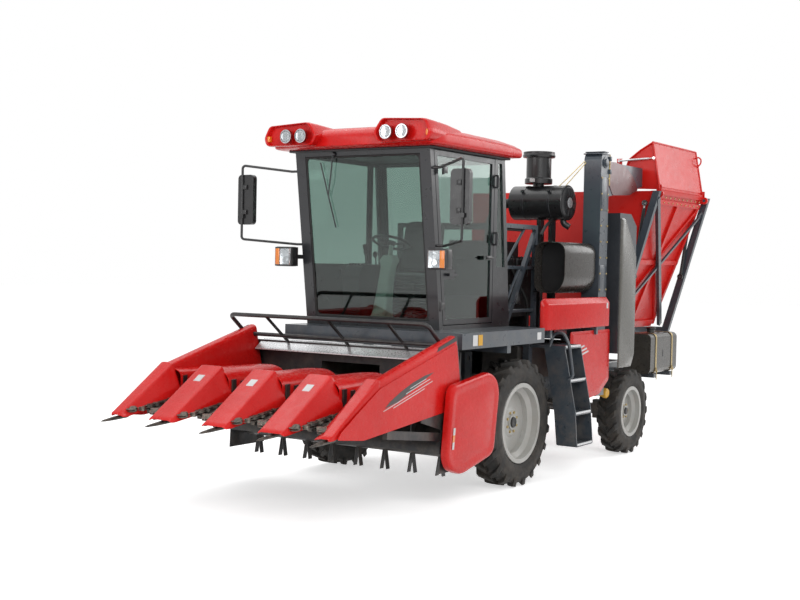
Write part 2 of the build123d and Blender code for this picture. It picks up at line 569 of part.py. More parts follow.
# Roof: a deep lid with rounded edges and two lamp pods at its front corners
ROOF_X = (-360, 1360)
ROOF_HALF = 905
ROOF_Z = (CAB_TOP_Z, 3340)
POD_FRONT_X = 1425
POD_Y = (380, 870)
POD_Z = (3165, 3360)
ROOF_ROUND = 70
roof_body = block(ROOF_X, (-ROOF_HALF, ROOF_HALF), ROOF_Z)
roof_body = fillet(roof_body.edges().filter_by(Axis.Z), ROOF_ROUND)
roof_body = fillet(roof_body.faces().sort_by(Axis.Z)[-1].edges(), ROOF_ROUND)
pods = both_sides(fillet(block((900, POD_FRONT_X), POD_Y, POD_Z).edges().filter_by(Axis.X), 40))
beacon = rod((-180, -520, ROOF_Z[1] - OVERRUN), (-180, -520, ROOF_Z[1] + 30), 60) + rod(
    (-180, -520, ROOF_Z[1] + 20), (-180, -520, ROOF_Z[1] + 120), 48)
roof_cavity = block((ROOF_X[0] + 60, ROOF_X[1] - 60), (-ROOF_HALF + 60, ROOF_HALF - 60), (ROOF_Z[0] - 1, ROOF_Z[0] + 90))
roof_rim = block((-205, 1140), (-CAB_HALF, CAB_HALF), (ROOF_Z[0], ROOF_Z[0] + 95)) - block(
    (-165, 1100), (-CAB_HALF + 40, CAB_HALF - 40), (ROOF_Z[0] - 2, ROOF_Z[0] + 90))
nodes["cab_roof"] = fuse(roof_body, pods, beacon) - roof_cavity + roof_rim


# Lamps in the pods and on the front pillars
LAMPS = [
    # y of the middle, z of the middle, radius
    (-640, 3245, 62),
    (-470, 3245, 62),
    (470, 3245, 62),
    (640, 3245, 62),
]
HEADLAMP_X = (1080, 1180)
HEADLAMP_Y = (760, 960)
HEADLAMP_Z = (2050, 2230)
lamp_pieces = [rod((POD_FRONT_X, y, z), (POD_FRONT_X + 18, y, z), radius) for y, z, radius in LAMPS]
headlamp = block(HEADLAMP_X, HEADLAMP_Y, HEADLAMP_Z)
stalk = block((cab_front(2140) - 40, HEADLAMP_X[0] + OVERRUN), (CAB_HALF, CAB_HALF + 25), (2120, 2160))
lamp_pieces += both_sides(headlamp + stalk)
nodes["lamps"] = apart(lamp_pieces)


# Mirrors: arms bent from tube, each with a tall head
MIRROR_ARM_R = 12
MIRROR_Z = (2440, 2920)


def mirror_assembly(outer_y, head_x):
    arm = bent_tube(
        [(1106, CAB_HALF + SEAT_GAP, 2950), (1106, CAB_HALF + 80, 2950), (head_x, outer_y - 60, 3010),
         (head_x, outer_y - 60, 2300), (1009, CAB_HALF + 80, 2260), (1009, CAB_HALF + SEAT_GAP, 2260)], 30, MIRROR_ARM_R,
    )
    head = block((head_x - 60, head_x - 8), (outer_y - 190, outer_y), MIRROR_Z)
    head = fillet(head.edges().filter_by(Axis.X), 40)
    clamp = block((head_x - 40, head_x + 15), (outer_y - 85, outer_y - 35), (MIRROR_Z[0] + 60, MIRROR_Z[0] + 100))
    return arm + head + clamp


nodes["mirrors"] = apart(mirror_assembly(1240, 1300), mirror(mirror_assembly(HALF_WIDTH, 1260), about=Plane.XZ))


# Engine, air cleaner and the cowls and covers round them
ENGINE_X = (-1560, -640)
ENGINE_Y = (-340, 420)
ENGINE_Z = (1470, 2350)
engine = fuse(
    block(ENGINE_X, ENGINE_Y, (1560, ENGINE_Z[1] - 160)),
    block((ENGINE_X[0] + 60, ENGINE_X[1] - 100), (ENGINE_Y[0] + 160, ENGINE_Y[1] - 180), (ENGINE_Z[1] - 170, ENGINE_Z[1])),
    block((ENGINE_X[0] + 80, ENGINE_X[1] - 80), (ENGINE_Y[0] + 120, ENGINE_Y[1] - 120), (ENGINE_Z[0], 1600)),
    [block((x, x + 90), (ENGINE_Y[0] + 60, ENGINE_Y[1] - 60), (FLOOR_Z[1], 1600)) for x in (ENGINE_X[0] + 40, ENGINE_X[1] - 130)],
    rod((ENGINE_X[1] - OVERRUN, 40, 1760), (ENGINE_X[1] + 90, 40, 1760), 240),
)
nodes["engine_block"] = engine
CLEANER_X = -1650
cleaner = fuse(
    drum((CLEANER_X, 2780), 185, (120, 750)),
    rod((CLEANER_X, 390, 2900), (CLEANER_X, 390, 3020), 60),
    rod((CLEANER_X, 390, 3000), (CLEANER_X, 390, 3290), 135),
    rod((CLEANER_X, 390, 3280), (CLEANER_X, 390, 3330), 170),
    [block((CLEANER_X - 40, CLEANER_X + 40), (y, y + 50), (FLOOR_Z[1], 2640)) for y in (400, 540)],
)
nodes["air_cleaner"] = cleaner
COWL_X = (-1720, -990)
COWL_Y = (700, 1050)
cowl_outline = [(COWL_Y[0], 1820), (COWL_Y[1] - 80, 1820), (COWL_Y[1], 1960), (COWL_Y[1], 2280), (COWL_Y[1] - 70, 2350),
                (COWL_Y[0], 2350)]
cowl_inner = [(COWL_Y[0] - OVERRUN, 1832), (COWL_Y[1] - 86, 1832), (COWL_Y[1] - 12, 1965), (COWL_Y[1] - 12, 2275),
              (COWL_Y[1] - 76, 2338), (COWL_Y[0] - OVERRUN, 2338)]
cowl = end_prism(cowl_outline, COWL_X) - end_prism(cowl_inner, (COWL_X[0] + 12, COWL_X[1] + OVERRUN))
cowl_bars = [block((x, x + 40), (FRAME_POST_Y, COWL_Y[1] - 6), (z, z + 12)) for x in (COWL_X[0] + 100, COWL_X[1] - 140)
             for z in (1832, 2326)]
cowl_post = [block((COWL_X[0] + 100, COWL_X[0] + 140), (FRAME_POST_Y - FRAME_TUBE, FRAME_POST_Y), (FLOOR_Z[1], 2338))]
nodes["side_cowl"] = fuse(cowl, cowl_bars, cowl_post)

ELEVATOR_Y_OUT = 1080
LOWER_COVER = [
    # x, z round the lower side cover
    (-1075, 1430),
    (-2050, 1430),
    (-2050, 880),
    (-1810, 740),
    (-1370, 700),
    (-1075, 880),
]
upper_cover = block(UPPER_COVER_X, (ELEVATOR_Y_OUT + SEAT_GAP, 1145), UPPER_COVER_Z) - block(
    (UPPER_COVER_X[0] + SHEET, UPPER_COVER_X[1] - SHEET), (1080 - OVERRUN, 1145 - SHEET),
    (UPPER_COVER_Z[0] + SHEET, UPPER_COVER_Z[1] - SHEET))
cover_brackets = [block((x, x + 50), (FLOOR_HALF_Y - 60, 1145 - SHEET / 2), (FLOOR_Z[1], 1480))
                  for x in (UPPER_COVER_X[0] + 220, -600)]
lower_cover = side_prism(LOWER_COVER, (1085, 1085 + SHEET))
lower_brackets = [block((x, x + 50), (790, 1085 + SHEET / 2), (1310, BEARER_TOP_Z - SEAT_GAP)) for x in (-1500, -2015)]
right_cover = side_prism(LOWER_COVER, (-1085 - SHEET, -1085))
right_brackets = [block((x, x + 50), (-1085 - SHEET / 2, -790), (1310, BEARER_TOP_Z - SEAT_GAP)) for x in (-1500, -2000)]
nodes["side_covers"] = apart(fuse(upper_cover, cover_brackets), fuse(lower_cover, lower_brackets),
                              fuse(right_cover, right_brackets))


# Husking bed housing between the rails and the engine floor
HUSKER_X = (-2020, -600)
HUSKER_HALF_Y = 735
HUSKER_Z = (RAIL_TOP_Z, 1285)
husker_shell = block(HUSKER_X, (-HUSKER_HALF_Y, HUSKER_HALF_Y), HUSKER_Z) - block(
    (HUSKER_X[0] + SHEET, HUSKER_X[1] - SHEET), (-HUSKER_HALF_Y + SHEET, HUSKER_HALF_Y - SHEET),
    (HUSKER_Z[0] + SHEET, HUSKER_Z[1] - SHEET)) - block(
    (HUSKER_X[1] - OVERRUN, HUSKER_X[1] + OVERRUN), (-330, 330), (980, 1270)) - block(
    (-1960, -1740), (HUSKER_HALF_Y - OVERRUN, HUSKER_HALF_Y + OVERRUN), (1000, 1200))
nodes["husker_housing"] = husker_shell


# Ear elevator: a tall box with a curved head and a spout that reaches back to the bin
ELEVATOR_X = (-1950, -1750)
ELEVATOR_Y = (880, 1080)
ELEVATOR_Z = (720, 3230)
POST_X = (BIN_FRONT_X + 65, BIN_FRONT_X + 125)
HEAD_R = (ELEVATOR_X[1] - ELEVATOR_X[0]) / 2
elevator_middle_x = (ELEVATOR_X[0] + ELEVATOR_X[1]) / 2
elevator_middle_y = (ELEVATOR_Y[0] + ELEVATOR_Y[1]) / 2
spout_outline = [(elevator_middle_x, 3230), (elevator_middle_x, 2900), (ELEVATOR_X[0], 2860), (POST_X[0], 3020),
                 (POST_X[0], 3230)]
spout_inner = [(elevator_middle_x + OVERRUN, 3222), (elevator_middle_x + OVERRUN, 2912), (ELEVATOR_X[0], 2870),
               (POST_X[0] - OVERRUN, 3034), (POST_X[0] - OVERRUN, 3222)]
column_outer = block(ELEVATOR_X, ELEVATOR_Y, ELEVATOR_Z) + drum((elevator_middle_x, ELEVATOR_Z[1]), HEAD_R, ELEVATOR_Y)
elevator = column_outer + side_prism(spout_outline, ELEVATOR_Y)
wall = SHEET
elevator -= block((ELEVATOR_X[0] + wall, ELEVATOR_X[1] - wall), (ELEVATOR_Y[0] + wall, ELEVATOR_Y[1] - wall),
                  (ELEVATOR_Z[0] + wall, ELEVATOR_Z[1] - wall))
elevator -= side_prism(spout_inner, (ELEVATOR_Y[0] + wall, ELEVATOR_Y[1] - wall))
inlet = block((ELEVATOR_X[0], ELEVATOR_X[1]), (HUSKER_HALF_Y + SEAT_GAP, ELEVATOR_Y[0] + wall / 2), (990, 1210)) - block(
    (ELEVATOR_X[0] + wall, ELEVATOR_X[1] - wall), (HUSKER_HALF_Y - OVERRUN, ELEVATOR_Y[0] + OVERRUN), (996, 1204))
elevator = elevator + inlet - block(
    (ELEVATOR_X[0] + wall, ELEVATOR_X[1] - wall), (ELEVATOR_Y[0] - OVERRUN, ELEVATOR_Y[0] + OVERRUN), (996, 1204))
nodes["ear_elevator"] = elevator

CABINET_X = (-2580, -2120)
CABINET_Y = (790, 1150)
cabinet = side_prism([(CABINET_X[1], 1160), (CABINET_X[1], 2690), (CABINET_X[0] + 160, 2690), (CABINET_X[0], 2560),
                      (CABINET_X[0], 1800), (CABINET_X[0] + 120, 1160)], CABINET_Y)
cabinet_feet = [block((x, x + 60), (RAIL_Y[0], CABINET_Y[0] + 100), (RAIL_TOP_Z, 1000)) for x in (CABINET_X[0] + 140, CABINET_X[1] - 80)]
cabinet_legs = [block((x, x + 60), (CABINET_Y[0], CABINET_Y[0] + 60), (RAIL_TOP_Z + 10, 1200)) for x in (CABINET_X[0] + 140, CABINET_X[1] - 80)]
nodes["side_cabinet"] = fuse(cabinet, cabinet_feet, cabinet_legs)


# Fuel tank with two straps
STRAP_SHIFT = 20
TANK_Y = (810, 1145)
TANK_Z = (TANK_BRACKET_Z[1] + 2, 1335)
tank = fillet(block(TANK_X, TANK_Y, TANK_Z).edges().filter_by(Axis.X), 60)
tank_straps = [block((x, x + 45), (TANK_Y[0] - 4, TANK_Y[1] + 4), (TANK_BRACKET_Z[1], TANK_Z[1] + 4)) for x in [x - STRAP_SHIFT for x in TANK_BRACKET_X]]
tank_straps = [fillet(strap.edges().filter_by(Axis.X), 60) for strap in tank_straps]
filler_x = TANK_X[1] - TANK_BEHIND_AXLE
filler = rod((filler_x, 980, TANK_Z[1] - OVERRUN), (filler_x, 980, TANK_Z[1] + 50), 45)
nodes["fuel_tank"] = fuse(tank, tank_straps, filler)


# Ear bin: hollow, its left wall leans inward, hinged along its top left edge
BIN_HINGE = (1280, 2940)
BIN_REAR_X = BIN_FRONT_X - BIN_LENGTH
BIN_OUTLINE = [
    # y, z round the bin seen from its end
    (1250, 2980),
    (630, 1370),
    (-1000, 1370),
    (-1180, 1600),
    (-1180, 2980),
]
BIN_WALL = 6
BIN_BOSS_R = 42
BIN_PIN_R = 20
SLAB_X = (BIN_FRONT_X + MOVING_GAP, POST_X[0] - MOVING_GAP)


def shrink(outline, amount):
    """The bin's outline drawn in from every wall but its open top."""
    (tl_y, tl_z), (bl_y, bl_z), (bm_y, bm_z), (br_y, br_z), (tr_y, tr_z) = outline
    slope = (tl_y - bl_y) / (tl_z - bl_z)
    left = amount * math.sqrt(1 + slope ** 2)
    return [
        (tl_y - left + slope * OVERRUN, tl_z + OVERRUN), (bl_y - left + slope * amount, bl_z + amount),
        (bm_y + amount / 2, bm_z + amount), (br_y + amount, br_z + amount / 2), (tr_y + amount, tr_z + OVERRUN),
    ]


bin_shell = end_prism(BIN_OUTLINE, (BIN_REAR_X, BIN_FRONT_X)) - end_prism(
    shrink(BIN_OUTLINE, BIN_WALL), (BIN_REAR_X + BIN_WALL, BIN_FRONT_X - BIN_WALL))
boss_spans = [(BIN_FRONT_X - BIN_WALL / 2, BIN_FRONT_X + 32), (BIN_REAR_X - 32, BIN_REAR_X + BIN_WALL / 2)]
hinge_y, hinge_z = BIN_HINGE
bosses, bores = [], []
for low, high in boss_spans:
    bosses.append(rod((low, hinge_y, hinge_z), (high, hinge_y, hinge_z), BIN_BOSS_R))
    bores.append(rod((low - OVERRUN, hinge_y, hinge_z), (high + OVERRUN, hinge_y, hinge_z), BIN_PIN_R + RUNNING_GAP))
BIN_RIB = 28
left_low, left_high = Vector(0, BIN_OUTLINE[1][0], BIN_OUTLINE[1][1]), Vector(0, BIN_OUTLINE[0][0], BIN_OUTLINE[0][1])
left_up = (left_high - left_low).normalized()
left_out = Vector(0, left_up.Z, -left_up.Y)
left_length = (left_high - left_low).length


def on_left_wall(x, up_share, out):
    """A point on the leaning left wall: along X, a share of the way up, a distance outward."""
    return Vector(x, 0, 0) + left_low + left_up * (left_length * up_share) + left_out * out


RIB_SHARES = (0.04, 0.5, 0.93)
ribs = [bar(on_left_wall(BIN_REAR_X + 2, share, BIN_RIB / 2 - 1), on_left_wall(BIN_FRONT_X - 2, share, BIN_RIB / 2 - 1),
            BIN_RIB, 2 * BIN_RIB, across=left_out) for share in RIB_SHARES]
upright_ribs = [bar(on_left_wall(x, RIB_SHARES[0], BIN_RIB / 2 - 1), on_left_wall(x, RIB_SHARES[-1], BIN_RIB / 2 - 1),
                    BIN_RIB, 2 * BIN_RIB, across=left_out)
                for x in (BIN_REAR_X + 40, (BIN_REAR_X + BIN_FRONT_X) / 2, BIN_FRONT_X - 40)]
RAM_BASE = (990, 2000)
RAM_EYE = (1107, 2840)
EYE_R = 34
EYE_PIN_R = 14
EYE_PLAY = 5
PAD = 6
pad_spans = ((BIN_FRONT_X - BIN_WALL / 2, BIN_FRONT_X + PAD), (BIN_REAR_X - PAD, BIN_REAR_X + BIN_WALL / 2))
eye_pads = [rod((low, RAM_EYE[0], RAM_EYE[1]), (high, RAM_EYE[0], RAM_EYE[1]), EYE_R) for low, high in pad_spans]
eye_pads += [block(span, (hinge_y - 110, hinge_y), (hinge_z - BIN_BOSS_R, hinge_z + BIN_BOSS_R)) for span in pad_spans]
HOOD_HINGE = (1262, 3020)
HOOD_POST_Y = 770
HOOD_TOP_Z = 3330
hood_posts = [block((BIN_FRONT_X - 8, BIN_FRONT_X), (HOOD_POST_Y - 35, HOOD_POST_Y + 30), (2940, HOOD_TOP_Z + 25)),
              rod((BIN_FRONT_X - 8, HOOD_POST_Y, HOOD_TOP_Z), (BIN_FRONT_X + 22, HOOD_POST_Y, HOOD_TOP_Z), 6)]
HOOD_PIN_R = 10
hood_hinge_y, hood_hinge_z = HOOD_HINGE
hood_ears = []
for wall_x, inward in ((BIN_FRONT_X, -1), (BIN_REAR_X, 1)):
    hood_ears.append(block((wall_x, wall_x + inward * BIN_WALL), (hood_hinge_y - 35, hood_hinge_y + 26), (2930, hood_hinge_z + 30)))
    hood_ears.append(rod((wall_x + inward * 2, hood_hinge_y, hood_hinge_z), (wall_x + inward * 34, hood_hinge_y, hood_hinge_z), HOOD_PIN_R))
bin_body = fuse(bin_shell, bosses, ribs, upright_ribs, eye_pads, hood_posts, hood_ears)
for bore in bores:
    bin_body -= bore
nodes["bin_body"] = bin_body

# Bin's hood: a curved sheet with two end plates, hinged above the bin's left wall
HOOD_OUTLINE = [
    # y, z round the hood's end plate
    (1262, 2995),
    (1165, 3545),
    (1010, 3440),
    (880, 3340),
    (835, 3215),
    (870, 3010),
]
hood_x = (BIN_REAR_X + 24, BIN_FRONT_X - 24)
hood_solid = end_prism(HOOD_OUTLINE, hood_x)
hood_inner = end_prism([(1250, 2980), (1155, 3530), (1015, 3430), (888, 3332), (843, 3213), (878, 2980)],
                       (hood_x[0] + 6, hood_x[1] - 6))
hood_mouth = end_prism([(1200, 2900), (1100, 3400), (700, 3400), (700, 2900)], (hood_x[0] + 6, hood_x[1] - 6))
hood_lugs = [rod((x, hood_hinge_y, hood_hinge_z), (x + 6, hood_hinge_y, hood_hinge_z), 26) for x in (hood_x[0], hood_x[1] - 6)]
strut_pad = rod((hood_x[1] - 4, 1190, HOOD_TOP_Z + 20), (BIN_FRONT_X - 1, 1190, HOOD_TOP_Z + 20), 16)
hood_bore = rod((hood_x[0] - OVERRUN, hood_hinge_y, hood_hinge_z), (hood_x[1] + OVERRUN, hood_hinge_y, hood_hinge_z),
                HOOD_PIN_R + RUNNING_GAP)
nodes["bin_hood"] = fuse(hood_solid - hood_inner - hood_mouth, hood_lugs, strut_pad) - hood_bore


# Bin support: cross beams, legs, leaning posts with the hinge pins, and the bracing between the posts
BEAM_Z = (1270, BIN_OUTLINE[1][1] - MOVING_GAP - 2)
REAR_POST_X = (BIN_REAR_X - (POST_X[1] - BIN_FRONT_X), BIN_REAR_X - (POST_X[0] - BIN_FRONT_X))
support = []
post_spans = [POST_X, REAR_POST_X]
for low, high in post_spans:
    support.append(block((low, high), (-1100, 820), BEAM_Z))
    support += both_sides(block((low, high), RAIL_Y, (RAIL_TOP_Z, BEAM_Z[1])))
    foot = (820 - 90, BEAM_Z[0])
    support.append(end_prism([(foot[0], BEAM_Z[0]), (820, BEAM_Z[0]), (hinge_y + 35, hinge_z + 30), (hinge_y - 45, hinge_z + 30)],
                             (low, high)))
for y in (-900, -100, 560):
    support.append(block((post_spans[1][0], post_spans[0][1]), (y - 35, y + 35), BEAM_Z))
pin_spans = [(POST_X[0] + 5, BIN_FRONT_X - 1), (REAR_POST_X[1] - 5, BIN_REAR_X + 1)]
for start, end in pin_spans:
    support.append(rod((start, hinge_y, hinge_z), (end, hinge_y, hinge_z), BIN_PIN_R))
base_y, base_z = RAM_BASE
for x_post, x_end in ((POST_X[0] + 5, SLAB_X[0]), (REAR_POST_X[1] - 5, BIN_REAR_X - MOVING_GAP)):
    support.append(rod((x_post, base_y, base_z), (x_end, base_y, base_z), EYE_PIN_R))
BRACES = [
    # width, depth, front up share, rear up share
    (55, 40, 0.96, 0.03),
    (35, 24, 0.03, 0.90),
]
for width, depth, front_share, rear_share in BRACES:
    front = on_left_wall((POST_X[0] + POST_X[1]) / 2, front_share, BIN_RIB + MOVING_GAP + depth / 2 + SHEET)
    rear = on_left_wall((REAR_POST_X[0] + REAR_POST_X[1]) / 2, rear_share, BIN_RIB + MOVING_GAP + depth / 2 + SHEET)
    support.append(bar(front, rear, depth, width, across=left_out))
nodes["bin_support"] = fuse(support)


def ram(base, eye, x_mid, bore_r, rod_r, barrel_share, rod_share):
    """A hydraulic ram in a plane across X: its barrel with a base eye, its rod with a rod eye."""
    start, end = Vector(x_mid, *base), Vector(x_mid, *eye)
    along = end - start
    barrel_end = start + along * barrel_share
    rod_start = start + along * rod_share
    half, pin_half = bore_r, SLAB_X[1] - x_mid if x_mid > BIN_REAR_X else x_mid - REAR_POST_X[1] - MOVING_GAP
    barrel = rod(start, barrel_end, bore_r) + rod(start - Vector(half, 0, 0), start + Vector(half, 0, 0), EYE_R)
    barrel -= rod(start - Vector(2 * half, 0, 0), start + Vector(2 * half, 0, 0), EYE_PIN_R + RUNNING_GAP)
    barrel -= rod(rod_start - along.normalized() * 6, barrel_end + along.normalized() * OVERRUN, rod_r + RUNNING_GAP)
    piston = rod(rod_start, end, rod_r) + rod(end - Vector(half, 0, 0), end + Vector(half, 0, 0), EYE_R)
    piston += rod(end - Vector(pin_half, 0, 0), end + Vector(pin_half, 0, 0), EYE_PIN_R)
    return barrel, piston


RAM_R = 20
RAM_ROD_R = 12
slab_middle = (SLAB_X[0] + SLAB_X[1]) / 2
rear_slab_middle = BIN_REAR_X - (slab_middle - BIN_FRONT_X)
front_ram = ram(RAM_BASE, RAM_EYE, slab_middle, RAM_R, RAM_ROD_R, 0.93, 0.08)
rear_ram = ram(RAM_BASE, RAM_EYE, rear_slab_middle, RAM_R, RAM_ROD_R, 0.93, 0.08)
nodes["bin_ram_barrels"] = apart(front_ram[0], rear_ram[0])
nodes["bin_ram_rods"] = apart(front_ram[1], rear_ram[1])


# Header: back wall, trough, end plates, cross beam, chopper hood and the lugs for its lift rams
HEADER_HALF = 1165
PANEL = 8
BACK_X = (1244, 1252)
BACK_TOP_Z = 1340
TROUGH_CENTRE = (1600, 960)
AUGER_R = 150
TROUGH_R = AUGER_R + 14
BEAM_X = (1775, 1835)
HEADER_BEAM_Z = (800, 900)
THROAT_HALF_Y = 325
THROAT_Z = (850, 1180)
CHOPPER_CENTRE = (1300, 500)
CHOPPER_TIP_R = 240
HOOD_R = CHOPPER_TIP_R + 22
SHEET_T = 6
trough_x, trough_z = TROUGH_CENTRE
end_plate_outline = [(BACK_X[0], 1150), (BACK_X[0] + 74, 1480), (1600, 1400), (1860, 1180), (1860, 790), (1540, 700),
                     (1560, 330), (1060, 330), (1040, 700)]
end_plates = both_sides(side_prism(end_plate_outline, (HEADER_HALF - PANEL, HEADER_HALF)))
back_wall = block(BACK_X, (-HEADER_HALF, HEADER_HALF), (trough_z, BACK_TOP_Z)) - block(
    (BACK_X[0] - OVERRUN, BACK_X[1] + OVERRUN), (-THROAT_HALF_Y, THROAT_HALF_Y), (THROAT_Z[0], THROAT_Z[1]))
lower_back = side_prism([(BACK_X[0], trough_z), (BACK_X[1], trough_z), (trough_x - TROUGH_R * 0.7, trough_z - TROUGH_R * 0.7),
                         (trough_x - TROUGH_R * 0.7 - 8, trough_z - TROUGH_R * 0.7 - 8)], (-HEADER_HALF, HEADER_HALF))
trough = drum(TROUGH_CENTRE, TROUGH_R + SHEET_T, (-HEADER_HALF, HEADER_HALF)) - drum(
    TROUGH_CENTRE, TROUGH_R, (-HEADER_HALF - OVERRUN, HEADER_HALF + OVERRUN))
trough &= block((trough_x - TROUGH_R * 0.72, trough_x + TROUGH_R + SHEET_T), (-HEADER_HALF, HEADER_HALF),
                (trough_z - TROUGH_R - SHEET_T, trough_z - 30))
cross_beam = block(BEAM_X, (-HEADER_HALF, HEADER_HALF), HEADER_BEAM_Z)
beam_tie = block((BEAM_X[0] - 20, BEAM_X[0] + 5), (-HEADER_HALF, HEADER_HALF), (HEADER_BEAM_Z[1] - 40, HEADER_BEAM_Z[1] - 30))
chop_x, chop_z = CHOPPER_CENTRE
chopper_hood = drum(CHOPPER_CENTRE, HOOD_R + SHEET_T, (-HEADER_HALF, HEADER_HALF)) - drum(
    CHOPPER_CENTRE, HOOD_R, (-HEADER_HALF - OVERRUN, HEADER_HALF + OVERRUN))
chopper_hood &= block((chop_x - HOOD_R - SHEET_T, chop_x + HOOD_R + SHEET_T), (-HEADER_HALF, HEADER_HALF),
                      (chop_z, chop_z + HOOD_R + SHEET_T))
chopper_link = [side_prism([(1480, 660), (1558, 560), (1560, 798), (1480, 835)], (y - 5, y + 5))
                for y in (-870, -430, 430, 870)]
LIFT_Y = 420
LIFT_EYE = (1100, 800)
LIFT_BASE = (250, 500)
lift_lugs = []
for y in (LIFT_Y - 38, LIFT_Y + 30):
    lift_lugs += both_sides(side_prism([(LIFT_EYE[0] - 35, 765), (LIFT_EYE[0] - 35, 840), (BACK_X[1], 1060),
                                        (1300, 960), (1300, 760)], (y, y + 8)))
lift_pins = both_sides(rod((LIFT_EYE[0], LIFT_Y - 38, LIFT_EYE[1]), (LIFT_EYE[0], LIFT_Y + 38, LIFT_EYE[1]), EYE_PIN_R))
sills = both_sides(bar((1540, HEADER_HALF - 30, 640), (2350, HEADER_HALF - 30, 740), 44, 70))
shaft_bosses = both_sides(drum(TROUGH_CENTRE, 60, (HEADER_HALF - 42, HEADER_HALF)))
chop_bosses = both_sides(drum(CHOPPER_CENTRE, 60, (HEADER_HALF - 42, HEADER_HALF)))
header_frame = fuse(end_plates, back_wall, lower_back, trough, cross_beam, beam_tie, chopper_hood, chopper_link, lift_lugs,
                    lift_pins, sills, shaft_bosses, chop_bosses)
SHAFT_R = 25
header_frame -= drum(TROUGH_CENTRE, SHAFT_R + RUNNING_GAP, (-HEADER_HALF - 60, HEADER_HALF + 60))
header_frame -= drum(CHOPPER_CENTRE, SHAFT_R + RUNNING_GAP, (-HEADER_HALF - 60, HEADER_HALF + 60))
nodes["header_frame"] = header_frame

# Auger: a tube with flights that bring the ears to the middle
AUGER_TUBE_R = 60
FLIGHT_PITCH = 260
FLIGHT = 5
auger = drum(TROUGH_CENTRE, AUGER_TUBE_R, (-HEADER_HALF + 54, HEADER_HALF - 54)) + drum(
    TROUGH_CENTRE, SHAFT_R, (-HEADER_HALF + 1, HEADER_HALF - 1))


def flight(start_y, turns, hand):
    """One flight swept as a ribbon along a helix about the auger's axis."""
    helix = Helix(pitch=FLIGHT_PITCH, height=FLIGHT_PITCH * turns, radius=AUGER_TUBE_R - 4, lefthand=hand < 0)
    outer = Helix(pitch=FLIGHT_PITCH, height=FLIGHT_PITCH * turns, radius=AUGER_R, lefthand=hand < 0)
    ribbon = Face.make_surface_from_curves(helix.edge(), outer.edge())
    solid = Solid.thicken(ribbon, FLIGHT)
    return Plane(origin=(trough_x, start_y, trough_z), z_dir=(0, 1, 0)) * solid


auger_flights = [flight(-HEADER_HALF + 66, 3.2, 1), flight(HEADER_HALF - 66 - FLIGHT_PITCH * 3.2, 3.2, -1)]
paddles = [block((trough_x - 3, trough_x + 3), (-220, 220), (trough_z, trough_z + AUGER_R)),
           block((trough_x - 3, trough_x + 3), (-220, 220), (trough_z - AUGER_R, trough_z))]
nodes["header_auger"] = fuse(auger, auger_flights, paddles)

# Chopper: a shaft that carries pairs of splayed flails
FLAIL_STEP = 145
chopper = drum(CHOPPER_CENTRE, 70, (-HEADER_HALF + 54, HEADER_HALF - 54)) + drum(
    CHOPPER_CENTRE, SHAFT_R, (-HEADER_HALF + 1, HEADER_HALF - 1))
flails = []
count = int((2 * HEADER_HALF - 300) // FLAIL_STEP)
for i in range(count + 1):
    y = -FLAIL_STEP * count / 2 + i * FLAIL_STEP
    up = 1 if i % 2 else -1
    for lean in (-1, 1):
        flails.append(bar((chop_x, y + lean * 6, chop_z + up * 60), (chop_x, y + lean * 34, chop_z + up * (CHOPPER_TIP_R - 4)),
                          8, 50))
nodes["chopper_rotor"] = fuse(chopper, flails)


# Row units: snapping plates, frame rails, gearbox and gathering chains, in a frame that leans to the front
ROW_BACK = (1870, 969)
ROW_SLOPE = math.radians(9)
row_y = [(i - (ROWS - 1) / 2) * ROW_SPACING for i in range(ROWS)]
divider_y = [(i - ROWS / 2) * ROW_SPACING for i in range(ROWS + 1)]
ROLL_GAP_T = 48
ROLL_N = -85
ROLL_R = 38
ROLL_S = (75, 830)
ROLL_TIP_S = 975
ROLL_SHAFT_R = 15
CHAIN_END_S = (60, 965)
CHAIN_T = 95
CHAIN_R = 38
CHAIN_BAND = 14
CHAIN_N = (18, 40)
LUG_STEP = 94
LUG_REACH = 34
SLOT_HALF = 16


def row_plane(y):
    back_x, back_z = ROW_BACK
    return Plane(origin=(back_x, y, back_z), x_dir=(math.cos(ROW_SLOPE), 0, -math.sin(ROW_SLOPE)),
                 z_dir=(math.sin(ROW_SLOPE), 0, math.cos(ROW_SLOPE)))


def chain():
    """A closed band round two sprockets with lugs standing out on both runs, on the left of the row."""
    low, high = CHAIN_END_S
    n_low, n_high = CHAIN_N
    run = Pos((low + high) / 2, CHAIN_T, n_low) * extrude(SlotCenterToCenter(high - low, 2 * CHAIN_R), n_high - n_low)
    run -= Pos((low + high) / 2, CHAIN_T, n_low - OVERRUN) * extrude(
        SlotCenterToCenter(high - low, 2 * (CHAIN_R - CHAIN_BAND)), n_high - n_low + 2 * OVERRUN)
    lugs = []
    for i in range(int((high - low) // LUG_STEP) + 1):
        s_at = low + LUG_STEP * i
        for face, reach in ((CHAIN_T - CHAIN_R, -LUG_REACH), (CHAIN_T + CHAIN_R, LUG_REACH)):
            edge = face - math.copysign(CHAIN_BAND / 2, reach)
            lugs.append(plan_prism([(s_at, edge), (s_at + 26, edge), (s_at + 16, face + reach), (s_at + 4, face + reach)],
                                   (n_low + 4, n_high - 4)))
    ends = []
    for s_at in CHAIN_END_S:
        ends.append(Pos(s_at, CHAIN_T, (n_low + n_high) / 2) * Cylinder(CHAIN_R - CHAIN_BAND + 1, n_high - n_low - 8))
        ends.append(Pos(s_at, CHAIN_T, (n_high + 0) / 2) * Cylinder(14, n_high + 8))
    return fuse(run, lugs, ends)


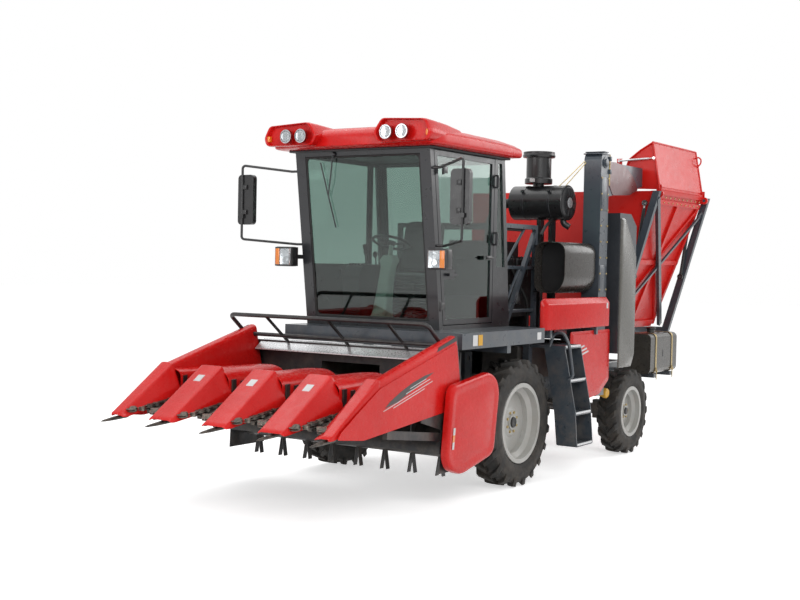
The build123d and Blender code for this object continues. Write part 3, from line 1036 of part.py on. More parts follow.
gearbox_shape = block((5, 62), (-112, 112), (ROLL_N - 50, 0))
one_side = fuse(
    block((5, CHAIN_END_S[1] - 30), (SLOT_HALF, 190), (0, 8)),
    block((5, CHAIN_END_S[1] - 60), (150, 190), (-60, 4)),
    block((CHAIN_END_S[1] - 120, CHAIN_END_S[1] + 45), (60, 130), (0, 8)),
    chain(),
)
row_unit = fuse(gearbox_shape, one_side, mirror(one_side, about=Plane.XZ), block((5, 30), (-190, 190), (-110, -4)))
for t in (ROLL_GAP_T, -ROLL_GAP_T):
    row_unit -= rod((20, t, ROLL_N), (120, t, ROLL_N), ROLL_SHAFT_R + RUNNING_GAP)
row_units = []
for y in row_y:
    unit = row_plane(y) * row_unit
    row_units.append(unit)
row_mounts = [block((BEAM_X[1], ROW_BACK[0]), (y - 110, y + 110), (HEADER_BEAM_Z[0] + 10, HEADER_BEAM_Z[1] - 5)) for y in row_y]
row_units = [unit + mount for unit, mount in zip(row_units, row_mounts)]
nodes["row_units"] = apart(row_units)

roll_body = Plane(origin=(ROLL_S[0], 0, 0), x_dir=(0, 1, 0), z_dir=(1, 0, 0)) * extrude(
    Circle(ROLL_R - 10), ROLL_S[1] - ROLL_S[0])
for i in range(6):
    fin = Rot(60 * i, 0, 0) * block((ROLL_S[0] + 20, ROLL_S[1]), (-4, 4), (ROLL_R - 14, ROLL_R))
    roll_body += fin
tip = Plane(origin=(ROLL_S[1], 0, 0), x_dir=(0, 1, 0), z_dir=(1, 0, 0)) * Pos(0, 0, (ROLL_TIP_S - ROLL_S[1]) / 2) * Cone(
    ROLL_R - 10, 8, ROLL_TIP_S - ROLL_S[1])
shaft = rod((24, 0, 0), (ROLL_S[0] + 2, 0, 0), ROLL_SHAFT_R)
roll = fuse(roll_body, tip, shaft)
for index, y in enumerate(row_y):
    for side, t in (("left", ROLL_GAP_T), ("right", -ROLL_GAP_T)):
        turned = roll if t > 0 else Rot(30, 0, 0) * roll
        nodes[f"snapping_roll_{index + 1}_{side}"] = row_plane(y) * (Pos(0, t, ROLL_N) * turned)


# Dividers: five hoods, each with a tapered nose and a steel point, and the two outer panels
HOOD_TOP_Z2 = 1170
HOOD_HALF = 225
HOOD_CHAMFER = (75, 30)
HOOD_BACK_X = BACK_X[1]
NOSE_BACK_X = 2490
NOSE_TIP_X = 3090
NOSE_LIFT_N = 62
NOSE_OPEN_X = 2920
NOSE_WALL = 7
outer_edge = HEADER_HALF + PANEL
inner_edge = divider_y[-1] - HOOD_HALF


def hood_section(half, top, wall, floor):
    side, drop = HOOD_CHAMFER
    return [(-half + wall, floor), (-half + wall, top - drop - wall / 2), (-half + side, top - wall), (half - side, top - wall),
            (half - wall, top - drop - wall / 2), (half - wall, floor)]


def under_line(n, x_span):
    """A block of space below a line at height n over the snapping plates."""
    (back_x, back_z), (low, high) = ROW_BACK, x_span
    lift = n / math.cos(ROW_SLOPE)
    fall = math.tan(ROW_SLOPE)
    return side_prism([(low, -100), (high, -100), (high, back_z + lift - (high - back_x) * fall),
                       (low, back_z + lift - (low - back_x) * fall)], (-400, 400))


hood = end_prism(hood_section(HOOD_HALF, HOOD_TOP_Z2, 0, 700), (HOOD_BACK_X, NOSE_BACK_X - 20)) - end_prism(
    hood_section(HOOD_HALF, HOOD_TOP_Z2, NOSE_WALL, 690), (HOOD_BACK_X - OVERRUN, NOSE_BACK_X + OVERRUN))
hood -= under_line(NOSE_LIFT_N, (1840, 2600))
hood -= block((1000, 1841), (-400, 400), (600, HOOD_TOP_Z2 - HOOD_CHAMFER[1] - 10))
gap_wedge = side_prism([(NOSE_BACK_X - 20, HOOD_TOP_Z2 + 5), (NOSE_BACK_X - 20, 600), (NOSE_BACK_X - 130, 600)], (-400, 400))
hood -= gap_wedge


def nose_solid(grow, back_x, half_back, half_tip):
    back = Plane(origin=(back_x, 0, 1035), x_dir=(0, 1, 0), z_dir=(1, 0, 0)) * RectangleRounded(
        2 * (half_back + grow), 270 + 2 * grow, 60 + grow)
    tip_face = Plane(origin=(NOSE_TIP_X + grow, 0, 785), x_dir=(0, 1, 0), z_dir=(1, 0, 0)) * RectangleRounded(
        2 * (half_tip + grow), 70 + 2 * grow, 30 + grow)
    return loft([back.face(), tip_face.face()])


def nose(half_back, half_tip):
    shell = nose_solid(0, NOSE_BACK_X, half_back, half_tip) - nose_solid(-NOSE_WALL, NOSE_BACK_X - 1, half_back, half_tip)
    shell -= under_line(NOSE_LIFT_N, (2400, NOSE_OPEN_X))
    point_length = FRONT_END_X - NOSE_TIP_X + 112
    point = Plane(origin=(FRONT_END_X - point_length, 0, 757), z_dir=(1, 0, 0)) * Pos(
        0, 0, point_length / 2) * Cone(16, 8, point_length)
    return shell + point


middle_divider = [hood, nose(HOOD_HALF, 135)]
dividers = [Pos(0, y, 0) * piece for y in divider_y[1:-1] for piece in middle_divider]
spine_top = HOOD_TOP_Z2 - NOSE_WALL - SEAT_GAP
SPINE_OUTLINE = [
    # x, z round the plate under a middle divider
    (BEAM_X[1] - 2, HEADER_BEAM_Z[0] + 10),
    (BEAM_X[1] - 2, HEADER_BEAM_Z[1] - 10),
    (1860, spine_top - 20),
    (1880, spine_top),
    (NOSE_BACK_X, spine_top - 0.6),
    (2700, 1038.3),
    (2700, 870),
    (2300, 800),
]
spines = [side_prism(SPINE_OUTLINE, (y - 4, y + 4)) for y in divider_y[1:-1]]
nodes["header_frame"] = fuse(nodes["header_frame"], spines)
PANEL_OUTLINE = [
    # x, z round the outer side panel
    (1244, 1160),
    (1320, 1490),
    (2520, 1172),
    (3040, 822),
    (3060, 760),
    (2700, 730),
    (1420, 860),
]
panel_sheet = side_prism(PANEL_OUTLINE, (HEADER_HALF + SEAT_GAP, outer_edge))
half_nose_half = (outer_edge - inner_edge) / 2
half_hood_middle = (outer_edge + inner_edge) / 2
half_hood = hood & block((1000, 3000), (-HOOD_HALF, outer_edge - divider_y[-1]), (600, 1300))
side_hood = Pos(0, divider_y[-1], 0) * half_hood
side_nose = Pos(0, half_hood_middle, 0) * nose(half_nose_half, half_nose_half - 25)
cut_plates = block((BACK_X[0] - 50, 1861), (HEADER_HALF - PANEL - SEAT_GAP, HEADER_HALF + SEAT_GAP), (300, 1500))
side_divider = (side_hood + side_nose) - cut_plates + panel_sheet
dividers += both_sides(side_divider)
nodes["divider_covers"] = apart(dividers)


# Guard rail on the header's back, and the strip along the top of the back wall
RAIL_R = 19
rail = [
    bent_tube([(1290, -HEADER_HALF + 30, 1330), (1620, -HEADER_HALF + 30, 1590), (1620, 1050, 1590), (1290, 1050, 1330)],
              60, RAIL_R),
    rod((1365, -HEADER_HALF + 60, 1400), (1365, 1030, 1400), RAIL_R),
]
for y in (-700, 0, 640):
    rail.append(rod((1290, y, 1345), (1615, y, 1585), 14))
strip = block((BACK_X[1] + SEAT_GAP, BACK_X[1] + 40), (-HEADER_HALF + 12, HEADER_HALF - 12), (1290, 1345))
rail.append(strip)
nodes["header_rail"] = fuse(rail) - block(BACK_X, (-HEADER_HALF, HEADER_HALF), (1000, BACK_TOP_Z))


# Feeder house from the header's throat back to its pivot, and the pivot's shaft in two chassis brackets
PIVOT = (-100, 1180)
FEEDER_HALF = 335
feeder_outline = [(BACK_X[0] - SEAT_GAP, 1190), (BACK_X[0] - SEAT_GAP, 835), (-250, 985), (-250, 1275)]
feeder_inner = [(BACK_X[0] + OVERRUN, 1184), (BACK_X[0] + OVERRUN, 842), (-250 - OVERRUN, 994), (-250 - OVERRUN, 1269)]
feeder = side_prism(feeder_outline, (-FEEDER_HALF, FEEDER_HALF)) - side_prism(
    feeder_inner, (-FEEDER_HALF + SHEET, FEEDER_HALF - SHEET))
trunnions = both_sides(drum(PIVOT, 28, (FEEDER_HALF - SHEET / 2, RAIL_Y[1] - 10)))
nodes["feeder_house"] = fuse(feeder, trunnions)
pivot_posts = both_sides(block((PIVOT[0] - 70, PIVOT[0] + 70), (RAIL_Y[0], RAIL_Y[1]), (RAIL_TOP_Z, PIVOT[1] + 60)))
pivot_bores = both_sides(drum(PIVOT, 28 + RUNNING_GAP, (RAIL_Y[0] - OVERRUN, RAIL_Y[1] + OVERRUN)))
nodes["chassis_frame"] = members(chassis, [post - bore for post, bore in zip(pivot_posts, pivot_bores)])


# Header lift rams from the front axle to the header's lugs
def lift_ram(y):
    start, end = Vector(LIFT_BASE[0], y, LIFT_BASE[1]), Vector(LIFT_EYE[0], y, LIFT_EYE[1])
    along = end - start
    across = Vector(0, 28, 0)
    barrel_end, rod_start = start + along * 0.62, start + along * 0.30
    barrel = rod(start, barrel_end, 29) + rod(start - across, start + across, EYE_R)
    barrel -= rod(start - across * 2, start + across * 2, EYE_PIN_R + RUNNING_GAP)
    barrel -= rod(start + along * 0.12, barrel_end + along * 0.05, 18 + RUNNING_GAP)
    piston = rod(rod_start, end, 18) + rod(end - across, end + across, EYE_R)
    piston -= rod(end - across * 2, end + across * 2, EYE_PIN_R + EYE_PLAY)
    return barrel, piston


lift_left, lift_right = lift_ram(LIFT_Y), lift_ram(-LIFT_Y)
nodes["lift_ram_barrels"] = apart(lift_left[0], lift_right[0])
nodes["lift_ram_rods"] = apart(lift_left[1], lift_right[1])
lift_mounts = []
for y in (LIFT_Y - 42, LIFT_Y + 32):
    lift_mounts += both_sides(side_prism([(40, FRONT_AXLE_Z - 60), (40, FRONT_AXLE_Z + 40), (LIFT_BASE[0] + 35, 535),
                                          (LIFT_BASE[0] + 35, 465), (LIFT_BASE[0] - 35, 465)], (y, y + 10)))
lift_mounts += both_sides(rod((LIFT_BASE[0], LIFT_Y - 40, LIFT_BASE[1]), (LIFT_BASE[0], LIFT_Y + 40, LIFT_BASE[1]), EYE_PIN_R))
nodes["front_axle"] = fuse(nodes["front_axle"], lift_mounts)


# Drive shield on the header's left end
SHIELD_OUTLINE = [
    # x, z round the drive shield
    (1530, 1070),
    (870, 1157),
    (740, 1080),
    (700, 970),
    (780, 420),
    (1350, 300),
    (1540, 370),
    (1600, 475),
]
SHIELD_STAND_OFF = 32
SHIELD_DEPTH = 65
SHIELD_Y = (HEADER_HALF + SHIELD_STAND_OFF, HEADER_HALF + SHIELD_STAND_OFF + SHIELD_DEPTH)
shield = side_prism(SHIELD_OUTLINE, SHIELD_Y)
shield_inner = side_prism([(1522, 1062), (874, 1148), (748, 1075), (709, 968), (788, 428), (1348, 309),
                                          (1533, 377), (1591, 478)], (SHIELD_Y[0] - OVERRUN, SHIELD_Y[1] - 8))
shield = shield - shield_inner
shield_stays = [block((x, x + 60), (outer_edge + SEAT_GAP, SHIELD_Y[1] - 4), (z, z + 8)) for x, z in ((1440, 1010), (1440, 900))]
shield_stays += [block((1300, 1345), (HEADER_HALF + SEAT_GAP, SHIELD_Y[1] - 4), (620, 630))]
nodes["drive_shield"] = fuse(shield, shield_stays)

# Hood strut on the bin
STRUT_BASE = (HOOD_POST_Y, HOOD_TOP_Z)
STRUT_EYE = (1190, HOOD_TOP_Z + 20)
STRUT_X = BIN_FRONT_X + 12
STRUT_PIN_R = 6


def strut():
    start, end = Vector(STRUT_X, *STRUT_BASE), Vector(STRUT_X, *STRUT_EYE)
    along = end - start
    across = Vector(8, 0, 0)
    barrel = rod(start, start + along * 0.86, 11) + rod(start - across, start + across, 16)
    barrel -= rod(start - across * 2, start + across * 2, STRUT_PIN_R + RUNNING_GAP)
    barrel -= rod(start + along * 0.08, start + along, 6 + RUNNING_GAP)
    piston = rod(start + along * 0.12, end, 6) + rod(end - across, end + across, 16)
    return barrel, piston


nodes["strut_barrel"], nodes["strut_rod"] = strut()


SHIFT = Pos(-(FRONT_END_X + REAR_END_X) / 2, 0, 0)
os.makedirs("parts", exist_ok=True)
for name, solid in nodes.items():
    export_step(SHIFT * solid, f"parts/{name}.step")
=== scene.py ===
import math

import bmesh
import bpy
from mathutils import Matrix, Vector


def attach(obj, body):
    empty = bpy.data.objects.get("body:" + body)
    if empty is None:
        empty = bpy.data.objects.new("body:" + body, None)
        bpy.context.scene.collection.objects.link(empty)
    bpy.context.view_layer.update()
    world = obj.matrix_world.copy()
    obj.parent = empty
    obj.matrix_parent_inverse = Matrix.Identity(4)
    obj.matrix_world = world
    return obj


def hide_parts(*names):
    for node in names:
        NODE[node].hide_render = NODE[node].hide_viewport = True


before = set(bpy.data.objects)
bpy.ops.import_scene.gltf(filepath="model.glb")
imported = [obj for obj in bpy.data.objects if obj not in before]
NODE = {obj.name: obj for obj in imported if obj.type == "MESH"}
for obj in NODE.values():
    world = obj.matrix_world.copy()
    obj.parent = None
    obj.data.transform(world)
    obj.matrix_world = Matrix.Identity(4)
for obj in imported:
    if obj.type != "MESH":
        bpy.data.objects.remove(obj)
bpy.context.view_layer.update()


# Camera, floor and light.
# The camera stands ahead and to the left of the machine at head height, level with the cab's sill. The
# floor and the world are plain and pale, and four broad lamps light the paint from the front, the left and
# above.
CAMERA_AT = (11.043, 6.575, 2.106)
CAMERA_RIGHT = (-0.550158, 0.834807, 0.020584)
CAMERA_UP = (-0.014037, -0.033891, 0.999327)
CAMERA_AHEAD = (-0.834943, -0.549499, -0.030364)
camera_data = bpy.data.cameras.new("camera")
camera_data.lens = 55.77
camera_data.sensor_width = 36.0
camera = bpy.data.objects.new("camera", camera_data)
camera.matrix_world = Matrix((
    (CAMERA_RIGHT[0], CAMERA_UP[0], -CAMERA_AHEAD[0], CAMERA_AT[0]),
    (CAMERA_RIGHT[1], CAMERA_UP[1], -CAMERA_AHEAD[1], CAMERA_AT[1]),
    (CAMERA_RIGHT[2], CAMERA_UP[2], -CAMERA_AHEAD[2], CAMERA_AT[2]),
    (0, 0, 0, 1),
))
bpy.context.collection.objects.link(camera)
bpy.context.scene.camera = camera
bpy.context.scene.view_settings.view_transform = "Standard"


def seen_white(tree):
    """1 where the camera, a mirror or glass looks at it, and 0 for light that bounces."""
    path = tree.nodes.new("ShaderNodeLightPath")
    seen = path.outputs["Is Camera Ray"]
    for ray in ("Is Glossy Ray", "Is Transmission Ray"):
        either = tree.nodes.new("ShaderNodeMath")
        either.operation = "MAXIMUM"
        tree.links.new(seen, either.inputs[0])
        tree.links.new(path.outputs[ray], either.inputs[1])
        seen = either.outputs[0]
    return seen


def set_inputs(node, values):
    """Sets constants on a node's own sockets."""
    for socket, value in values.items():
        node.inputs[socket].default_value = value


def spread(tree, value, low, high, to_low, to_high):
    """Stretches a value between two limits on to two others."""
    node = tree.nodes.new("ShaderNodeMapRange")
    set_inputs(node, {"From Min": low, "From Max": high, "To Min": to_low, "To Max": to_high})
    tree.links.new(value, node.inputs["Value"])
    return node.outputs[0]


def new_material(name):
    """A material, its node tree and the shader in it."""
    material = bpy.data.materials.new(name)
    material.use_nodes = True
    return material, material.node_tree, material.node_tree.nodes["Principled BSDF"]


WORLD_LIGHT = 0.5
world = bpy.data.worlds.new("studio")
bpy.context.scene.world = world
world.use_nodes = True
tree = world.node_tree
background = tree.nodes["Background"]
background.inputs["Color"].default_value = (1, 1, 1, 1)
tree.links.new(spread(tree, seen_white(tree), 0.0, 1.0, WORLD_LIGHT, 1.0), background.inputs["Strength"])

FLOOR_HALF = 60.0
FLOOR_GLOW = 0.55
floor_mesh = bpy.data.meshes.new("studio_floor")
floor_corners = [(x * FLOOR_HALF, y * FLOOR_HALF, 0) for x, y in ((-1, -1), (1, -1), (1, 1), (-1, 1))]
floor_mesh.from_pydata(floor_corners, [], [(0, 1, 2, 3)])
floor = bpy.data.objects.new("studio_floor", floor_mesh)
bpy.context.collection.objects.link(floor)
floor_paint, tree, shader = new_material("floor_paint")
set_inputs(shader, {"Base Color": (0.9, 0.9, 0.9, 1), "Roughness": 0.9, "Emission Color": (1, 1, 1, 1)})
tree.links.new(spread(tree, seen_white(tree), 0.0, 1.0, 0.0, FLOOR_GLOW), shader.inputs["Emission Strength"])
floor_mesh.materials.append(floor_paint)

LAMPS = [
    # name, place, aims at, size, watts
    ("key_softbox", (9.0, 9.5, 8.0), (0, 0, 1.5), 6.0, 620),
    ("front_softbox", (12.0, -3.0, 5.0), (0, 0, 1.5), 6.0, 330),
    ("back_softbox", (-9.0, 6.0, 6.5), (0, 0, 1.5), 6.0, 330),
    ("top_softbox", (-1.0, -2.0, 10.0), (0, 0, 1.0), 9.0, 420),
]
for name, place, target, size, watts in LAMPS:
    lamp_data = bpy.data.lights.new(name, "AREA")
    lamp_data.size = size
    lamp_data.energy = watts
    lamp = bpy.data.objects.new(name, lamp_data)
    lamp.location = place
    lamp.rotation_euler = (Vector(target) - Vector(place)).to_track_quat("-Z", "Y").to_euler()
    bpy.context.collection.objects.link(lamp)


# Chassis frame, bin support, deck, ladder and the plain sheet housings behind the cab.
# Welded box section and channel, painted slate grey over a thin primer. The paint is semi-gloss with a
# faint orange peel, a film of field dust that gets heavier towards the ground, and small variations in
# tone.
SLATE = (0.046, 0.058, 0.072)
DUST = (0.34, 0.27, 0.2)


def tone(tree, scale, detail, roughness=0.55, stretch=None):
    """Cloudy noise in the machine's own coordinates."""
    place = tree.nodes.new("ShaderNodeTexCoord").outputs["Object"]
    noise = tree.nodes.new("ShaderNodeTexNoise")
    set_inputs(noise, {"Scale": scale, "Detail": detail, "Roughness": roughness})
    if stretch:
        mapping = tree.nodes.new("ShaderNodeMapping")
        mapping.inputs["Scale"].default_value = stretch
        tree.links.new(place, mapping.inputs["Vector"])
        place = mapping.outputs[0]
    tree.links.new(place, noise.inputs["Vector"])
    return noise.outputs["Fac"]


def blend_colours(tree, share, under, over):
    """Lays one colour over another by a share; either may be a link or a colour."""
    node = tree.nodes.new("ShaderNodeMix")
    node.data_type = "RGBA"
    tree.links.new(share, node.inputs[0])
    for socket, colour in ((node.inputs[6], under), (node.inputs[7], over)):
        if isinstance(colour, tuple):
            socket.default_value = (*colour, 1)
        else:
            tree.links.new(colour, socket)
    return node.outputs[2]


def product(tree, first, second):
    node = tree.nodes.new("ShaderNodeMath")
    node.operation = "MULTIPLY"
    tree.links.new(first, node.inputs[0])
    if isinstance(second, float):
        node.inputs[1].default_value = second
    else:
        tree.links.new(second, node.inputs[1])
    return node.outputs[0]


def height_share(tree, low, high):
    """1 at the low height and 0 at the high one."""
    place = tree.nodes.new("ShaderNodeTexCoord")
    split = tree.nodes.new("ShaderNodeSeparateXYZ")
    tree.links.new(place.outputs["Object"], split.inputs[0])
    return spread(tree, split.outputs["Z"], low, high, 1.0, 0.0)


def bumpy(tree, shader, height, strength, distance):
    node = tree.nodes.new("ShaderNodeBump")
    set_inputs(node, {"Strength": strength, "Distance": distance})
    tree.links.new(height, node.inputs["Height"])
    tree.links.new(node.outputs[0], shader.inputs["Normal"])


def enamel(name, colour, gloss=0.3, dust=0.35, coat=0.25, shine=0.4):
    """Sprayed machine paint: an even colour with slight clouds, dust low down and a fine orange peel."""
    paint, tree, shader = new_material(name)
    darker = tuple(channel * 0.93 for channel in colour)
    lighter = tuple(min(1.0, channel * 1.05 + 0.002) for channel in colour)
    body = blend_colours(tree, spread(tree, tone(tree, 2.3, 4), 0.35, 0.65, 0.0, 1.0), darker, lighter)
    film = product(tree, spread(tree, tone(tree, 7.0, 8, 0.7), 0.42, 0.78, 0.0, 1.0),
                   height_share(tree, 0.2, 2.2))
    film = product(tree, film, dust)
    tree.links.new(blend_colours(tree, film, body, DUST), shader.inputs["Base Color"])
    rough = spread(tree, tone(tree, 16.0, 5), 0.3, 0.7, gloss - 0.05, gloss + 0.12)
    tree.links.new(rough, shader.inputs["Roughness"])
    set_inputs(shader, {"Specular IOR Level": shine, "Coat Weight": coat, "Coat Roughness": 0.12})
    bumpy(tree, shader, tone(tree, 260.0, 2), 0.03, 0.0006)
    return paint


def paint_nodes(paint, *node_names):
    """Gives CAD nodes their finished material."""
    for node_name in node_names:
        for material_slot in NODE[node_name].material_slots:
            material_slot.material = paint


slate_enamel = enamel("slate_enamel", SLATE)
paint_nodes(slate_enamel, "chassis_frame", "bin_support", "operator_deck", "access_ladder", "ear_elevator")
bed_grey = enamel("bed_grey", (0.07, 0.066, 0.062), gloss=0.45, dust=0.5, coat=0.05)
paint_nodes(bed_grey, "husker_housing")


# Axles, knuckles and rams.
# Cast and welded running gear in satin black, dustier than the paint above it. The ram rods and the
# steering bar are ground and chromed, with a thin oil film.
black_enamel = enamel("black_enamel", (0.012, 0.012, 0.013), gloss=0.42, dust=0.55, coat=0.05)
paint_nodes(black_enamel, "front_axle", "rear_axle", "knuckle_left", "knuckle_right", "lift_ram_barrels",
            "bin_ram_barrels")


def bare_metal(name, clean, stained, low, high, metal=1.0, grain=22.0):
    """Uncoated metal: clean and stained patches, with a roughness that wanders between two limits."""
    finish, tree, shader = new_material(name)
    shader.inputs["Metallic"].default_value = metal
    patches = spread(tree, tone(tree, grain, 6, 0.65), 0.42, 0.68, 0.0, 1.0)
    tree.links.new(blend_colours(tree, patches, clean, stained), shader.inputs["Base Color"])
    tree.links.new(spread(tree, tone(tree, 60.0, 4), 0.3, 0.7, low, high), shader.inputs["Roughness"])
    bumpy(tree, shader, tone(tree, 180.0, 3), 0.1, 0.0008)
    return finish


chromed_rod = bare_metal("chromed_rod", (0.62, 0.62, 0.64), (0.45, 0.42, 0.38), 0.12, 0.3)
paint_nodes(chromed_rod, "lift_ram_rods", "bin_ram_rods", "strut_rod", "steering_rod")


# Header frame, row units, snapping rolls, auger, chopper and guard rail.
# Welded plate and tube in satin black, rubbed bright where stalks and ears pass.
header_black = enamel("header_black", (0.013, 0.013, 0.015), gloss=0.4, dust=0.3, coat=0.1)
paint_nodes(header_black, "header_frame", "header_rail", "header_auger", "chopper_rotor")
feeder_grey = enamel("feeder_grey", (0.06, 0.058, 0.055), gloss=0.45, dust=0.4, coat=0.05)
paint_nodes(feeder_grey, "feeder_house")
worked_steel = bare_metal("worked_steel", (0.05, 0.046, 0.042), (0.15, 0.13, 0.11), 0.38, 0.62, metal=0.75,
                          grain=30.0)
paint_nodes(worked_steel, "row_units")
paint_nodes(worked_steel,
            *[f"snapping_roll_{row}_{side}" for row in (1, 2, 3, 4) for side in ("left", "right")])


# Header dividers: three middle hoods, two outer ones with side sheets, a nose and a steel point on each.
# Rolled and folded sheet, 6 mm thick, open underneath, painted the machine's red. Each nose is a separate
# moulding bolted over the end of its hood, and a short forged point sticks out below its tip.
RED = (0.58, 0.007, 0.006)
red_enamel = enamel("red_enamel", RED, gloss=0.24, dust=0.06, coat=0.08, shine=0.22)
ROW_PITCH = 0.58
SKIN = 0.006


def new_piece(name, mesh, paint, body, replaced=(), sharp=32):
    """Turns a bmesh into a piece that rides on a body; edges sharper than an angle stay crisp."""
    bmesh.ops.recalc_face_normals(mesh, faces=mesh.faces)
    data = bpy.data.meshes.new(name)
    mesh.to_mesh(data)
    mesh.free()
    data.shade_smooth()
    data.set_sharp_from_angle(angle=math.radians(sharp))
    data.materials.append(paint)
    piece = bpy.data.objects.new(name, data)
    bpy.context.collection.objects.link(piece)
    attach(piece, body)
    if replaced:
        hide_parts(*replaced)
    return piece


def full_turn(steps):
    """Equal angles right round."""
    return [2 * math.pi * step / steps for step in range(steps)]


def ring(middle, side, other, radius, steps):
    """Points on a circle that lies along two directions."""
    return [middle + (side * math.cos(turn) + other * math.sin(turn)) * radius for turn in full_turn(steps)]


def skin_over(mesh, sections, looped=False):
    """Joins closed sections of equally many points into one skin, capped or run back to the first."""
    rings = [[mesh.verts.new(point) for point in section] for section in sections]
    count = len(rings[0])
    for near, far in zip(rings, rings[1:] + rings[:1] if looped else rings[1:]):
        for k in range(count):
            mesh.faces.new((near[k], near[(k + 1) % count], far[(k + 1) % count], far[k]))
    if not looped:
        mesh.faces.new(rings[0][::-1])
        mesh.faces.new(rings[-1])


def loft(mesh, across, stations):
    """Skins (level, 2D outline) stations along one axis; the outlines run in the other two."""
    order = {"x": (0, 1, 2), "y": (1, 0, 2), "z": (1, 2, 0)}[across]
    skin_over(mesh, [[tuple((level, *point)[k] for k in order) for point in outline]
                     for level, outline in stations])


def rounded(corners, radius, steps=5, closed=True):
    """An outline or open path with its corners rounded, by the same number of points for each corner."""
    outline = []
    count = len(corners)
    for k, corner in enumerate(corners):
        here = Vector(corner)
        if not closed and k in (0, count - 1):
            outline.append(tuple(here))
            continue
        before, after = Vector(corners[k - 1]) - here, Vector(corners[(k + 1) % count]) - here
        reach = min(radius, before.length * 0.45, after.length * 0.45)
        start, end = here + before.normalized() * reach, here + after.normalized() * reach
        for step in range(steps + 1):
            t = step / steps
            outline.append(tuple(start * (1 - t) ** 2 + here * (2 * t * (1 - t)) + end * t ** 2))
    return outline


def oblong(low, high):
    """The corners of a rectangle, round from its low one."""
    return [low, (high[0], low[1]), high, (low[0], high[1])]


def sheet_loop(corners, radius, thickness):
    """An open sheet section as one thin closed loop: its outer line and the same line drawn inward."""
    outer = rounded(corners, radius, closed=False)
    middle_y = (corners[0][0] + corners[-1][0]) / 2
    low_z = min(z for _, z in corners)
    half = max(abs(y - middle_y) for y, _ in corners)
    top = max(z for _, z in corners) - low_z
    inner = [(middle_y + (y - middle_y) * (1 - thickness / half), low_z + (z - low_z) * (1 - thickness / top))
             for y, z in outer]
    return outer + inner[::-1]


NOSE_STATIONS = [
    # x, half width low, half width of the top, height of the lower edge, height of the top, corner radius
    (3.062, 0.218, 0.106, 0.884, 1.176, 0.03),
    (3.07, 0.226, 0.114, 0.88, 1.19, 0.03),
    (3.09, 0.228, 0.116, 0.878, 1.19, 0.03),
    (3.66, 0.14, 0.112, 0.77, 0.812, 0.012),
    (3.69, 0.132, 0.106, 0.768, 0.798, 0.01),
    (3.697, 0.122, 0.096, 0.771, 0.788, 0.006),
]
ARCH_STATIONS = [
    # x, half width, height of the lower edge, height of the crown
    (2.3, 0.196, 0.985, 1.15),
    (2.31, 0.2, 0.975, 1.16),
    (2.46, 0.203, 0.968, 1.169),
    (2.7, 0.204, 0.95, 1.17),
    (3.085, 0.206, 0.89, 1.17),
]
ARCH_STEPS = 16
ARCH_RISE_SHARE = 0.62


def hood_corners(low_half, top_half, low, top):
    """A folded hood's section: leaning sides up to a shoulder, and a flat top."""
    shoulder = low + (top - low) * 0.3
    return [(-low_half, low), (-low_half * 0.985, shoulder), (-top_half, top), (top_half, top),
            (low_half * 0.985, shoulder), (low_half, low)]


def add_sheet_run(mesh, stations, middle_y):
    """A folded hood with a flat top."""
    loft(mesh, "x", [(x, [(middle_y + y, z) for y, z in sheet_loop(hood_corners(*sizes), radius, SKIN)])
                     for x, *sizes, radius in stations])


def add_arch_run(mesh, stations, middle_y):
    """A rolled hood: straight sides with a half-round top."""
    sections = []
    for x, half, low, crown in stations:
        spring = crown - half * ARCH_RISE_SHARE
        arc = [(-half * math.cos(turn), spring + half * ARCH_RISE_SHARE * math.sin(turn) ** 0.8)
               for turn in [math.pi * k / ARCH_STEPS for k in range(ARCH_STEPS + 1)]]
        line = [(-half, low), *arc, (half, low)]
        inner = [(y * (1 - SKIN / half), z - SKIN * max(0.0, (z - low) / (crown - low))) for y, z in line]
        sections.append((x, [(middle_y + y, z) for y, z in line + inner[::-1]]))
    loft(mesh, "x", sections)


hoods = bmesh.new()
for row_line in (-1, 0, 1):
    add_arch_run(hoods, ARCH_STATIONS, row_line * ROW_PITCH)
    add_sheet_run(hoods, NOSE_STATIONS, row_line * ROW_PITCH)

SIDE_OUTER_Y = 1.173
SIDE_SHEET = [
    # x, z round the tall side sheet of an outer divider
    (1.871, 1.1), (1.933, 1.424), (3.09, 1.118), (3.4, 0.94), (3.59, 0.826), (3.64, 0.775), (3.3, 0.736),
    (2.02, 0.858),
]
CHEEK_STATIONS = [
    # x, y of the inner face, y of the outer face, height of the lower edge, height of the top, corner radius
    (1.872, 1.03, SIDE_OUTER_Y, 1.1, 1.14, 0.018),
    (1.9, 1.03, SIDE_OUTER_Y, 1.1, 1.33, 0.05),
    (1.93, 1.03, SIDE_OUTER_Y, 1.1, 1.486, 0.06),
    (1.96, 1.03, SIDE_OUTER_Y, 1.1, 1.478, 0.06),
    (2.3, 1.03, SIDE_OUTER_Y, 1.06, 1.39, 0.06),
    (3.085, 1.03, SIDE_OUTER_Y, 0.894, 1.176, 0.06),
]
SIDE_ARCH_STATIONS = [
    # x, half width, height of the lower edge, height of the crown
    (2.3, 0.11, 0.985, 1.12),
    (2.7, 0.112, 0.95, 1.132),
    (3.08, 0.114, 0.89, 1.138),
]
SIDE_ARCH_Y = 1.045
SIDE_NOSE_STATIONS = [
    # x, y of the inner face, y of the outer face, height of the lower edge, height of the top, corner radius
    (3.07, 0.938, 1.168, 0.886, 1.176, 0.035),
    (3.08, 0.93, 1.173, 0.882, 1.19, 0.035),
    (3.1, 0.928, 1.173, 0.88, 1.19, 0.035),
    (3.66, 0.985, 1.158, 0.77, 0.812, 0.012),
    (3.69, 0.995, 1.152, 0.768, 0.798, 0.01),
    (3.697, 1.005, 1.142, 0.771, 0.788, 0.006),
]


